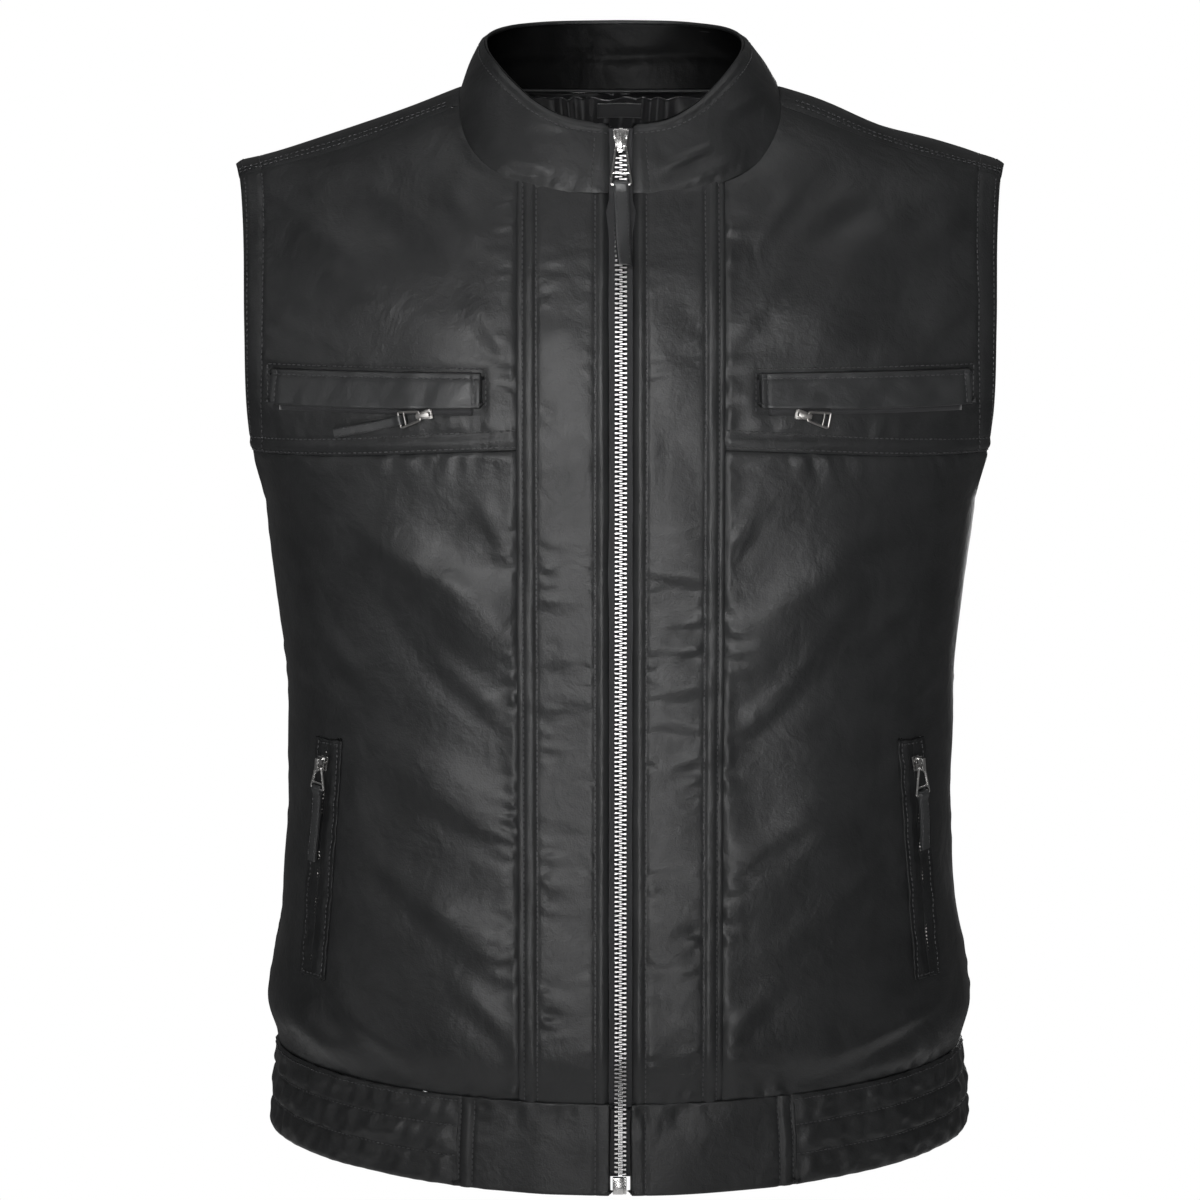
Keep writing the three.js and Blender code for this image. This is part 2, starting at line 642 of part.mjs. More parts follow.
// The line of the main zip up the front at a distance across: on the body of the vest, then on the collar.
const zipLineRows = [
  ...spread(zipBottomZ, frontNeckZ - 4, 26).map((z) => ({ z })),
  ...[0.12, 0.45, 0.88].map((high) => ({ high })),
];
function frontLine(row, x, lift) {
  const side = x < 0 ? 'right' : 'left';
  if (row.z !== undefined) {
    const rise = Math.max(0, (row.z - armholeFootZ) / (ridgeZ(x) - armholeFootZ));
    const climb = Math.asin(rise ** (shoulderSquareness / 2)) / degrees;
    const up = row.z < armholeFootZ ? row.z - armholeFootZ : climb;
    return clothPoint('front', side, angleAcross('front', Math.abs(x), up), up, lift);
  }
  const point = collarForm('left', 0, row.high).setX(x);
  const normal = new THREE.Vector3(0, -1, 0);
  return { point: point.addScaledVector(normal, lift), normal };
}
function makeMainZip() {
  const chainRows = zipLineRows.filter((row) => row.z !== undefined || row.high < 0.5);
  const chain = chainRows.map((row) => [-chainHalfWidth, chainHalfWidth].map((x) => frontLine(row, x, 0.5)));
  addPiece('zip_chain', wall([chain], chainThickness), nickel);
  for (const side of ['left', 'right']) {
    const tape = zipLineRows.map((row) => {
      const onCollar = row.z === undefined;
      const outerX = onCollar || row.z > frontNeckZ - 6 ? zipEdgeX - seamGap : tapeOuterX;
      const lift = onCollar ? tapeThickness / 2 : -(leather + 1.1);
      return [chainHalfWidth + seamGap, outerX].map((x) => frontLine(row, signOf[side] * x, lift));
    });
    addPiece(`zip_tape_${side}`, wall([tape], tapeThickness), ribbon);
  }
  const foot = frontLine({ z: zipBottomZ }, 0, 0).point;
  const height = zipBottomZ - seamGap - hemZ;
  addPiece('zip_stop', block(9, 3.6, height, 0, foot.y + 0.6, hemZ + height / 2), nickel);
}

// A slider in its own place: x across the zip, y into the cloth, z along it. Its bridge holds a pull's bar.
function sliderBody(width, length, gap) {
  const plate = 1.2;
  const legDepth = bridgeClear + wire;
  const front = -gap / 2 - plate;
  const barY = front - bridgeClear - wire / 2;
  const legLength = legDepth * 2 - wire + 1;
  const legMiddleY = front - legDepth + wire / 2 + 0.5;
  return {
    barY,
    solid: joinBlocks(
      block(width, plate, length, 0, -gap / 2 - plate / 2, 0),
      block(width, plate, length, 0, gap / 2 + plate / 2, 0),
      block(1.6, gap + 0.2, length * 0.4, 0, 0, length * 0.2),
      block(bridgeWidth, legLength, 1.2, 0, legMiddleY, length / 2 - 0.6),
      block(bridgeWidth, legLength, 1.2, 0, legMiddleY, -length / 2 + 0.6),
      block(bridgeWidth, 1, length, 0, front - legDepth * 2 + wire - 0.5, 0),
    ),
  };
}

// A wire pull that hangs down from its bar at the origin, a little wider at its foot, with a cross wire.
function pullFrame({ frameLength, topHalf, footHalf }) {
  const outline = (inset) => [
    [-topHalf + inset, wire / 2 - inset], [topHalf - inset, wire / 2 - inset],
    [footHalf - inset, wire / 2 - frameLength + inset], [-footHalf + inset, wire / 2 - frameLength + inset],
  ];
  const ring = plateOf([outline(0), outline(wire)], wire);
  const share = 0.66;
  const crossHalf = mix(topHalf, footHalf, share) - wire / 2;
  return ring.add(toSolid(block(crossHalf * 2, wire, wire, 0, 0, -frameLength * share)));
}

// A leather tab looped over the pull's foot, drawn as its side outline and spread across.
function pullTab({ frameLength, topHalf, footHalf, tabLength }) {
  const barZ = wire - frameLength;
  const hole = wire * 0.72 + seamGap;
  const rim = hole + 0.9;
  const arc = (radius, from, to, steps) => spread(from, to, steps).map(
    (turn) => [Math.cos(turn * degrees) * radius, barZ + Math.sin(turn * degrees) * radius],
  );
  const [legTop, legFoot] = [barZ - rim - 1.5, barZ - tabLength];
  const legs = [[-0.95, legTop], [-0.95, legFoot], [0.95, legFoot], [0.95, legTop]];
  const outline = [...arc(rim, -30, 210, 6), ...legs];
  const section = new wasm.CrossSection([outline, arc(hole, 0, 300, 5)], 'EvenOdd');
  const narrowing = (footHalf - topHalf) / frameLength * (wire + rim * 2);
  const width = (footHalf - wire - seamGap - narrowing) * 2;
  return section.extrude(width).rotate([90, 0, 90]).translate([-width / 2, 0, 0]);
}

// Stands a fitting on the cloth: its own z along the zip, its y into the cloth.
function seat(point, along, outward) {
  const z = along.clone().normalize();
  const y = outward.clone().negate().addScaledVector(z, outward.dot(z)).normalize();
  const x = y.clone().cross(z);
  return new THREE.Matrix4().makeBasis(x, y, z).setPosition(point);
}
function placed(solid, matrix) {
  return fromSolid(solid).applyMatrix4(matrix);
}

// A slider on its zip with its pull hanging from the bridge, swung aside or tipped off the cloth as given.
function addFittings(name, seatMatrix, slider, pull) {
  const { solid, barY } = sliderBody(slider.width, slider.length, slider.gap);
  addPiece(`${name}_slider`, placed(solid, seatMatrix), nickel);
  const barZ = -slider.length / 2 + 1.2 + wire * 0.8;
  const hang = new THREE.Matrix4().makeTranslation(0, barY, barZ)
    .multiply(new THREE.Matrix4().makeRotationX(pull.tip * degrees));
  const matrix = seatMatrix.clone().multiply(hang);
  addPiece(`${name}_pull`, placed(pullFrame(pull), matrix), nickel);
  if (pull.tabLength) addPiece(`${name}_tab`, placed(pullTab(pull), matrix), black);
}
function makeMainSlider() {
  const low = frontLine({ high: 0.5 }, 0, 0).point;
  const high = frontLine({ high: 1 }, 0, 0).point;
  const along = high.clone().sub(low);
  const middle = low.clone().lerp(high, 0.5);
  addFittings('zip', seat(middle, along, new THREE.Vector3(0, -1, 0)), mainSlider, mainPull);
}

// Pockets

// A strip between two edges lying on the front, given as columns of distance across for each row's height.
function onFront(side, x, z, lift) {
  return frontLine({ z }, signOf[side] * x, lift);
}
function makeChestPocket(side) {
  const { innerX, outerX, topZ, bottomZ } = chestPocket;
  const weltMiddleZ = mix(topZ, bottomZ, 0.35);
  const weltRows = [[topZ, weltThickness + seamGap], [weltMiddleZ, weltLift - 0.9], [bottomZ, weltLift]];
  const welt = weltRows.map(
    ([z, lift]) => spread(innerX, outerX, 9).map((x) => onFront(side, x, z, lift)),
  );
  addPiece(`chest_welt_${side}`, wall([welt], weltThickness), black);
  const zip = [chestZipZ - smallChainWidth / 2, chestZipZ + smallChainWidth / 2].map(
    (z) => spread(innerX + 4, outerX - 4, 9).map((x) => onFront(side, x, z, smallChainThickness + seamGap)),
  );
  addPiece(`chest_zip_${side}`, wall([zip], smallChainThickness), nickel);
}
function makeHandPocket(side) {
  const { topX, topZ, bottomX, bottomZ } = handPocket;
  const inner = smallChainWidth / 2 + seamGap;
  const outer = inner + lipWidth;
  const at = (t, across, lift) => onFront(side, mix(topX, bottomX, t) + across, mix(topZ, bottomZ, t), lift);
  const rows = spread(0, 1, 10);
  const end = 0.035;
  const levels = [0, end, ...spread(0.13, 0.87, 7), 1 - end, 1];
  const strip = (xs, ts) => ts.map((t) => xs.map((x) => at(t, x, lipThickness + seamGap)));
  const frame = [
    strip([-outer, -inner], levels), strip([inner, outer], levels),
    strip([-inner, inner], levels.slice(0, 2)), strip([-inner, inner], levels.slice(-2)),
  ];
  addPiece(`hand_welt_${side}`, wall(frame, lipThickness), black);
  const chain = rows.map((t) => mix(end + 0.01, 1 - end - 0.01, t)).map(
    (t) => [-1, 1].map((u) => at(t, u * smallChainWidth / 2, smallChainThickness + seamGap)),
  );
  addPiece(`hand_zip_${side}`, wall([chain], smallChainThickness), nickel);
}

// The slider of a pocket, standing clear of the zip and the lips, and its pull.
function makePocketSlider(name, side, spot) {
  const middle = onFront(side, spot.x, spot.z, pocketSliderLift);
  const next = onFront(side, spot.x + spot.alongX, spot.z + spot.alongZ, pocketSliderLift);
  const along = next.point.clone().sub(middle.point);
  addFittings(name, seat(middle.point, along, middle.normal), pocketSlider, pocketPulls[name]);
}

for (const side of ['left', 'right']) {
  makeZipPanel(side);
  makeSidePanel(side);
  makeYoke(side);
  makeWaistband(side);
  makeChestPocket(side);
  makeHandPocket(side);
  const chest = { x: chestSliderX[side], z: chestSliderZ, alongX: -4, alongZ: 0.9 };
  makePocketSlider(`chest_${side}`, side, chest);
  const hand = { x: handPocket.topX + 1.2, z: handPocket.topZ - 14, alongX: -0.4, alongZ: 5 };
  makePocketSlider(`hand_${side}`, side, hand);
}
makeBack();
makeCollar();
makeHemBack();
makeLining();
makeMainZip();
makeMainSlider();

export default vest;
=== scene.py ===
import math

import bmesh
import bpy
import numpy as np
from mathutils import Matrix, Vector


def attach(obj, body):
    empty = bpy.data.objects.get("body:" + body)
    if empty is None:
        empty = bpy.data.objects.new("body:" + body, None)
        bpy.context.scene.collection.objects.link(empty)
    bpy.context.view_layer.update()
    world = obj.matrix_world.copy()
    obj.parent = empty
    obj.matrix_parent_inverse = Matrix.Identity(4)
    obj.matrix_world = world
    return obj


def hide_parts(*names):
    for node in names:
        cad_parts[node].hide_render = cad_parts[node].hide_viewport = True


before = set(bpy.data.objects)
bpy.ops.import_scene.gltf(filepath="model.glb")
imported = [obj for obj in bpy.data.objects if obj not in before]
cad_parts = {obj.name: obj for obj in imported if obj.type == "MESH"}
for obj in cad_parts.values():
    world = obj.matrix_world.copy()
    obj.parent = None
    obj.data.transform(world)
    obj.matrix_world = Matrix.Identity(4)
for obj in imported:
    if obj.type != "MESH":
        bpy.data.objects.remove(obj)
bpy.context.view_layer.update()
scene = bpy.context.scene

# ---- Camera ----
# The vest is seen straight on from a little over two metres, from the height of its collar, tipped down so
# that it fills the frame from the collar to the hem.
camera = bpy.data.objects.new("camera", bpy.data.cameras.new("camera"))
scene.collection.objects.link(camera)
camera.location = (-0.012, -2.163, 0.0)
camera_target = Vector((-0.012, 0.0, -0.314))
camera.rotation_euler = (camera_target - camera.location).to_track_quat("-Z", "Y").to_euler()
camera.data.sensor_width = 36.0
camera.data.lens = 107.1
camera.data.clip_start = 0.05
scene.camera = camera

# ---- Studio ----
# A pale floor well below the vest, a white surround that gives a part of its brightness as light, and big
# soft lights: the main one in front, and weaker ones low in front, overhead, at both sides and behind.
scene.view_settings.view_transform = "Standard"
world = bpy.data.worlds.new("white_room")
world.use_nodes = True
surround = world.node_tree.nodes["Background"]
surround.inputs["Color"].default_value = (1, 1, 1, 1)
light_path = world.node_tree.nodes.new("ShaderNodeLightPath")
brightness = world.node_tree.nodes.new("ShaderNodeMapRange")
SURROUND_LIGHT = 0.115
brightness.inputs["To Min"].default_value = SURROUND_LIGHT
brightness.inputs["To Max"].default_value = 1.0
world.node_tree.links.new(light_path.outputs["Is Camera Ray"], brightness.inputs["Value"])
world.node_tree.links.new(brightness.outputs["Result"], surround.inputs["Strength"])
scene.world = world

floor_material = bpy.data.materials.new("pale_floor")
floor_material.use_nodes = True
floor_shader = floor_material.node_tree.nodes["Principled BSDF"]
floor_shader.inputs["Base Color"].default_value = (0.82, 0.82, 0.82, 1)
floor_shader.inputs["Roughness"].default_value = 0.9
floor_shader.inputs["Emission Color"].default_value = (1, 1, 1, 1)
floor_shader.inputs["Emission Strength"].default_value = 0.45
FLOOR_RADIUS, FLOOR_Z = 0.7, -0.93
bm = bmesh.new()
bmesh.ops.create_circle(bm, cap_ends=True, segments=96, radius=FLOOR_RADIUS)
bmesh.ops.translate(bm, vec=(0, 0, FLOOR_Z), verts=bm.verts)
floor_mesh = bpy.data.meshes.new("floor")
bm.to_mesh(floor_mesh)
bm.free()
floor_mesh.materials.append(floor_material)
floor = bpy.data.objects.new("floor", floor_mesh)
scene.collection.objects.link(floor)

soft_lights = [
    # name, place, aimed at, width, height, power, spread in degrees
    ("front", (-0.3, -2.4, 0.15), (0.02, 0, -0.11), 1.4, 1.1, 2.85, 28),
    ("low_front", (0.05, -2.4, -0.95), (0.03, 0, -0.2), 0.8, 0.5, 0.48, 17.5),
    ("overhead", (0.0, -0.6, 1.5), (0, -0.05, -0.1), 1.8, 0.9, 11, 180),
    ("left_side", (-1.9, -1.2, -0.1), (0, 0, -0.3), 0.4, 1.4, 3.5, 180),
    ("right_side", (1.9, -1.2, -0.1), (0, 0, -0.3), 0.4, 1.4, 1.3, 180),
    ("behind", (0.6, 2.3, -0.3), (0, 0, -0.3), 1.2, 0.8, 16, 180),
]
for name, place, aim, width, height, power, spread in soft_lights:
    lamp = bpy.data.lights.new(name, "AREA")
    lamp.shape = "RECTANGLE"
    lamp.size, lamp.size_y, lamp.energy = width, height, power
    lamp.spread = math.radians(spread)
    lamp_object = bpy.data.objects.new(name, lamp)
    lamp_object.location = place
    lamp_object.rotation_euler = (Vector(aim) - Vector(place)).to_track_quat("-Z", "Y").to_euler()
    scene.collection.objects.link(lamp_object)

# ---- Fronts ----
# Black cow leather, soft and about a millimetre and a half thick. Each front is a zip panel, a chest yoke and
# a lower side panel, joined by seams that are turned to one side and stitched down in two rows. They are
# shaped here in millimetres on the form of a worn chest.
ARMHOLE_FOOT_Z, SHOULDER_TIP_Z = -252.0, -47.0
BAND_SEAM_Z, HEM_Z = -597.0, -650.5
FRONT_NECK_Z, BACK_NECK_Z = -63.0, -5.0
ZIP_EDGE_X, PRINCESS_X, NECK_HALF_WIDTH, SHOULDER_TIP_X = 7.2, 60.0, 95.0, 231.0
YOKE_SEAM_CLIMB, SHOULDER_SEAM_CLIMB = 6.5, 71.0
CHEST_SQUARE, SHOULDER_SQUARE, NECK_SQUARE = 2.3, 2.4, 2.8
# The shoulder line: how softly it bends, how far across it starts, and its dip between there and the tip.
RIDGE_BEND, RIDGE_INNER_X, RIDGE_DIP = 60, 88, 4
# How far forward and how far back the armhole's edge lies, once it has climbed so many degrees.
ARMHOLE_REACH_FRONT, ARMHOLE_REACH_BACK, ARMHOLE_CLIMB = 77, 82, 45
# The waist rises a little at the sides: by how much, from what height down, and over what height.
SIDE_RISE, SIDE_RISE_FROM_Z, SIDE_RISE_OVER = 9.5, -450, 144
LEATHER = 1.5
SEAM_GAP = 0.15
MM = 0.001

# z, half width, depth in front, depth behind, squareness
torso = np.array([
    (-650.5, 216, 127, 113, 2.0),
    (-625, 214.5, 125, 112, 2.02),
    (-597, 212, 123, 109, 2.05),
    (-570, 218, 128, 114, 2.1),
    (-545, 215, 127, 111, 2.15),
    (-510, 209, 123, 104, 2.2),
    (-465, 205, 119, 97, 2.3),
    (-415, 203, 117, 92, 2.3),
    (-370, 203.5, 117, 91, 2.3),
    (-310, 208.5, 120, 97, 2.3),
    (-252, 215, 124, 106, 2.3),
], float)
# climb in degrees, half width, depth in front, depth behind
shoulder = np.array([
    (0, 215, 124, 106),
    (9, 221, 124.5, 110),
    (27, 221.5, 123, 117),
    (45, 222, 120, 119),
    (63, 224.5, 118, 118),
    (78, 228, 118, 116),
    (90, 231, 118, 116),
], float)
# The largest folds, as ridges between two points: face, x1, z1, x2, z2, width, height
big_folds = [
    ("front", -150, -250, -55, -335, 20, 4),
    ("front", -150, -385, -58, -428, 17, 3.5),
    ("front", -120, -470, -58, -520, 16, 3),
    ("front", -206, -548, -160, -585, 11, 4),
    ("front", 205, -575, 130, -587, 11, 3),
    ("front", 150, -270, 60, -350, 24, 3),
    ("front", 140, -420, 62, -480, 22, 3),
    ("front", -185, -80, -85, -165, 20, 2.5),
    ("front", 165, -75, 95, -160, 20, 2.5),
    ("back", -170, -150, -60, -230, 24, 3.5),
    ("back", 175, -155, 70, -240, 24, 3.5),
    ("back", -165, -380, -40, -420, 18, 4),
    ("back", 160, -400, 30, -440, 18, 4),
    ("back", -150, -500, 10, -520, 17, 3.5),
    ("back", 150, -535, 40, -560, 15, 3.5),
]


def column_at(table, column, at):
    """One column of a table of sections, on a smooth curve through its rows."""
    keys, values = table[:, 0], table[:, column]
    slopes = np.empty(len(keys))
    slopes[1:-1] = (values[2:] - values[:-2]) / (keys[2:] - keys[:-2])
    slopes[0] = (values[1] - values[0]) / (keys[1] - keys[0])
    slopes[-1] = (values[-1] - values[-2]) / (keys[-1] - keys[-2])
    i = np.clip(np.searchsorted(keys, at), 1, len(keys) - 1)
    span = keys[i] - keys[i - 1]
    t = (at - keys[i - 1]) / span
    rise = values[i] - values[i - 1]
    m0, m1 = slopes[i - 1] * span, slopes[i] * span
    return values[i - 1] + t * (m0 + t * (3 * rise - 2 * m0 - m1 + t * (m0 + m1 - 2 * rise)))


def ridge_z(x):
    """Height of the shoulder line over a point across the vest."""
    reach = np.hypot(x, RIDGE_BEND)
    tip, inner = math.hypot(SHOULDER_TIP_X, RIDGE_BEND), math.hypot(RIDGE_INNER_X, RIDGE_BEND)
    share = np.clip((np.abs(x) - RIDGE_INNER_X) / (SHOULDER_TIP_X - RIDGE_INNER_X), 0, 1)
    slope = -SHOULDER_TIP_Z / (tip - inner)
    return SHOULDER_TIP_Z + slope * (tip - reach) - RIDGE_DIP * np.sin(np.pi * share) ** 2


def section_at(face, up):
    """The section at a height: millimetres below the armhole's foot where negative, else degrees of climb."""
    up = np.asarray(up, float)
    z = ARMHOLE_FOOT_Z + np.minimum(up, 0)
    past = up > 90
    climb = np.clip(np.where(past, 180 - up, up), 0, 90)
    in_front = past == (face == "back")
    share = np.minimum(climb / ARMHOLE_CLIMB, 1)
    reach = np.where(in_front, ARMHOLE_REACH_FRONT, ARMHOLE_REACH_BACK) * np.sqrt(1 - (1 - share) ** 3)
    low_depth = column_at(torso, 2 if face == "front" else 3, z)
    high_depth = np.where(in_front, column_at(shoulder, 2, climb), column_at(shoulder, 3, climb))
    low = up <= 0
    half_width = np.where(low, column_at(torso, 1, z), column_at(shoulder, 1, climb))
    depth = np.where(low, low_depth, high_depth)
    k = np.where(low, column_at(torso, 4, z), CHEST_SQUARE)
    reach = np.where(low, 0, reach)
    rise = np.sin(np.radians(climb)) ** (2 / SHOULDER_SQUARE)
    hug = np.where(past, -1, 1) * np.cos(np.radians(climb)).clip(0) ** (2 / SHOULDER_SQUARE)
    width = half_width / (1 - (reach / depth) ** k) ** (1 / k)
    edge = np.arcsin(np.minimum(1, half_width / width))
    return {"z": z, "low": low, "depth": depth, "k": k, "rise": rise, "hug": np.where(low, 1, hug),
            "width": width, "edge": edge}


def form_points(face, side, angle, up):
    """Points of the smooth worn form, at angles round the section and heights up. Side is 1 for the left and
    -1 for the right."""
    s = section_at(face, up)
    sine = np.sin(angle)
    x = s["width"] * sine
    across = (1 - np.abs(sine) ** s["k"]).clip(0) ** (1 / s["k"])
    drop = ((SIDE_RISE_FROM_Z - s["z"]) / SIDE_RISE_OVER).clip(0, 1)
    low_z = s["z"] + SIDE_RISE * drop * drop * (3 - 2 * drop) * sine * sine
    high_z = ARMHOLE_FOOT_Z + (ridge_z(x) - ARMHOLE_FOOT_Z) * s["rise"]
    facing = -1 if face == "front" else 1
    y = facing * s["depth"] * across * s["hug"]
    return np.stack([side * x, y, np.where(s["low"], low_z, high_z)], -1)


def angle_across(face, x, up):
    """The angle round the section that lies a distance across from the middle."""
    return np.arcsin(np.minimum(1, np.asarray(x, float) / section_at(face, up)["width"]))


def climb_of(x, z):
    """How far up a point at a height lies: millimetres below the armhole's foot, or degrees over it."""
    rise = ((z - ARMHOLE_FOOT_Z) / (ridge_z(x) - ARMHOLE_FOOT_Z)).clip(0, 1)
    climb = np.degrees(np.arcsin(rise ** (SHOULDER_SQUARE / 2)))
    return np.where(z < ARMHOLE_FOOT_Z, z - ARMHOLE_FOOT_Z, climb)


def neckline(bearing):
    """Distance across and climb of the neckline, by bearing round the neck from the zip."""
    sine = np.sin(np.radians(bearing)).clip(0)
    cosine = np.cos(np.radians(bearing))
    x = NECK_HALF_WIDTH * sine ** (2 / NECK_SQUARE)
    lowest = np.where(cosine > 0, FRONT_NECK_Z, BACK_NECK_Z)
    ridge = ridge_z(NECK_HALF_WIDTH)
    z = ridge + (lowest - ridge) * np.abs(cosine) ** (2 / NECK_SQUARE)
    return x, climb_of(x, z)


def bearing_across(x):
    """The bearing at which the neckline lies a distance across."""
    return np.degrees(np.arcsin((np.asarray(x, float) / NECK_HALF_WIDTH) ** (NECK_SQUARE / 2)))


def bearing_at_climb(up):
    """The bearing at which the front neckline has climbed so far."""
    bearings = np.linspace(0, 90, 2001)
    return np.interp(up, neckline(bearings)[1], bearings)


def ripple(points, size, seed):
    """Gentle unevenness: a few crossing waves about so many millimetres long, between about -1 and 1."""
    rng = np.random.default_rng(seed)
    total = np.zeros(points.shape[:-1])
    for _ in range(9):
        way = rng.normal(size=3)
        way *= 2 * np.pi / (size * rng.uniform(0.65, 1.6)) / np.linalg.norm(way)
        total += np.sin(points @ way + rng.uniform(0, 2 * np.pi))
    return total / 3


def ridge_between(x, z, x1, z1, x2, z2, width):
    """One soft ridge between two points of the cloth, fading toward both ends."""
    dx, dz = x2 - x1, z2 - z1
    along = ((x - x1) * dx + (z - z1) * dz) / (dx * dx + dz * dz)
    off = ((x - x1) * dz - (z - z1) * dx) / math.hypot(dx, dz)
    past = (np.abs(along - 0.5) * 2 - 0.35).clip(0)
    return np.exp(-((off / width) ** 2) - (past / 0.5) ** 2)


def normals_of(points, outward):
    """Outward directions of a grid of points."""
    across = np.gradient(points, axis=1)
    up = np.gradient(points, axis=0)
    n = np.cross(across, up)
    n /= np.linalg.norm(n, axis=-1, keepdims=True) + 1e-12
    middle = n[n.shape[0] // 2, n.shape[1] // 2]
    return n if middle @ np.asarray(outward, float) > 0 else -n


def along_the_columns(points):
    """Each point's distance from the first column, along its row."""
    jumps = np.linalg.norm(np.diff(points, axis=1), axis=-1)
    return np.concatenate([np.zeros((points.shape[0], 1)), np.cumsum(jumps, 1)], 1)


def up_the_rows(points):
    """Each point's distance from the first row, along its column."""
    return along_the_columns(points.swapaxes(0, 1)).swapaxes(0, 1)


def panel_grid(face, side, ups, inner_x, inner_steps, outer_steps, spacing):
    """Lays a panel's grid on the form, out to the side seam and the armhole: one row for each height, its
    columns at set distances from the panel's inner and outer edges and even between. Returns the points, and
    each one's distances to both edges."""
    ups = np.asarray(ups, float)
    inner = angle_across(face, inner_x, ups)
    s = section_at(face, ups)
    outer = s["edge"] - np.where(ups > 0.5, 0, SEAM_GAP / s["width"])
    fine = np.linspace(0, 1, 241)
    angles = inner[:, None] + (outer - inner)[:, None] * fine
    dense = form_points(face, side, angles, ups[:, None])
    arc = along_the_columns(dense)
    longest = arc[:, -1].max()
    count = max(2, round((longest - inner_steps[-1] - outer_steps[-1]) / spacing))
    columns = len(inner_steps) + len(outer_steps) + count - 1
    out = np.empty((len(ups), columns, 3))
    from_inner = np.empty((len(ups), columns))
    for j in range(len(ups)):
        total = arc[j, -1]
        squeeze = min(1, 0.8 * total / (inner_steps[-1] + outer_steps[-1] + 1e-9))
        head = np.array(inner_steps) * squeeze
        tail = total - np.array(outer_steps[::-1]) * squeeze
        places = np.concatenate([head[:-1], np.linspace(head[-1], tail[0], count + 1), tail[1:]])
        at = np.interp(places, arc[j], angles[j])
        out[j] = form_points(face, side, at, ups[j])
        from_inner[j] = places
    return out, from_inner, arc[:, -1][:, None] - from_inner


def fold_lift(face, points):
    """How far the largest folds lift the cloth."""
    x, z = points[..., 0], points[..., 2]
    total = np.zeros(x.shape)
    for on_face, x1, z1, x2, z2, width, height in big_folds:
        if on_face == face:
            total = total + height * ridge_between(x, z, x1, z1, x2, z2, width)
    return total


def crease_lift(points, creases):
    """Smaller creases: each a ridge with a shallower trough along one side of it."""
    x, z = points[..., 0], points[..., 2]
    total = np.zeros(x.shape)
    for x1, z1, x2, z2, width, height in creases:
        ridge = ridge_between(x, z, x1, z1, x2, z2, width)
        trough = ridge_between(x, z + 1.5 * width, x1, z1, x2, z2, width * 0.9)
        total += height * (ridge - 0.6 * trough)
    return total


def row_groove(distance, at, depth=0.5, width=0.9):
    """The dent that a row of stitches pulls into the leather."""
    return -depth * np.exp(-(((distance - at) / width) ** 2))


def edge_roll(distance, depth=0.8, width=1.6):
    """The leather turning under at a seam or an edge."""
    return -depth * np.exp(-((distance / width) ** 2))


def seam_pucker(points, distance, seed, height=0.55, reach=9.0, pitch=9.0, level=False):
    """Small gathers that a seam's thread pulls up, running out square to it. Level is for a seam that runs
    across the vest rather than up it."""
    rng = np.random.default_rng(seed)
    along = points[..., 0] + 0.3 * points[..., 1] if level else points[..., 2]
    total = np.zeros(along.shape)
    for _ in range(7):
        wave = 2 * np.pi / (pitch * rng.uniform(0.55, 1.9))
        total += np.sin(along * wave + distance * wave * rng.uniform(-0.45, 0.45) + rng.uniform(0, 2 * np.pi))
    uneven = 0.55 + 0.45 * np.sin(along * 2 * np.pi / (pitch * 7.3) + rng.uniform(0, 6))
    held = 1 - np.exp(-((distance / 1.6) ** 2))
    return height * held * np.exp(-((distance / reach) ** 1.5)) * uneven * total / 2.2


def away_from(distance, reach=5.0):
    """Nothing at a seam, where the cloth is held, growing to full a little way from it."""
    return 1 - np.exp(-((distance / reach) ** 2))


def calm_near(points, x1, z1, x2, z2, half_width):
    """Nothing on a pocket, where the cloth is backed and flat, growing to full a little way round it."""
    x, z = points[..., 0], points[..., 2]
    dx, dz = x2 - x1, z2 - z1
    along = (((x - x1) * dx + (z - z1) * dz) / (dx * dx + dz * dz)).clip(0, 1)
    off = np.hypot(x - x1 - along * dx, z - z1 - along * dz)
    t = ((off - half_width) / 12).clip(0, 1)
    return t * t * (3 - 2 * t)


def plain_look(name):
    """A new material: its nodes, its links and its shader."""
    material = bpy.data.materials.new(name)
    material.use_nodes = True
    nodes = material.node_tree.nodes
    return material, nodes, material.node_tree.links, nodes["Principled BSDF"]


def pattern(nodes, links, kind, feature=None, **values):
    """A pattern over the piece in its own place, with its numbers by the names of its sockets."""
    node = nodes.new(kind)
    if feature:
        node.feature = feature
    for socket, value in values.items():
        node.inputs[socket].default_value = value
    place = nodes.new("ShaderNodeTexCoord")
    links.new(place.outputs["Object"], node.inputs["Vector"])
    return node


def relief(nodes, links, height, strength, distance, over=None):
    """Bumps of a height over the surface, or over other bumps."""
    bump = nodes.new("ShaderNodeBump")
    bump.inputs["Strength"].default_value = strength
    bump.inputs["Distance"].default_value = distance
    links.new(height, bump.inputs["Height"])
    if over:
        links.new(over.outputs["Normal"], bump.inputs["Normal"])
    return bump


def uneven_polish(nodes, links, source, shader, low, high):
    """Roughness that follows a pattern between two values."""
    node = nodes.new("ShaderNodeMapRange")
    node.inputs["To Min"].default_value = low
    node.inputs["To Max"].default_value = high
    links.new(source, node.inputs["Value"])
    links.new(node.outputs["Result"], shader.inputs["Roughness"])


def two_tones(nodes, links, source, shader, one, other):
    """Colour that follows a pattern between two colours."""
    shade = nodes.new("ShaderNodeMix")
    shade.data_type = "RGBA"
    shade.inputs["A"].default_value = one
    shade.inputs["B"].default_value = other
    links.new(source, shade.inputs["Factor"])
    links.new(shade.outputs["Result"], shader.inputs["Base Color"])


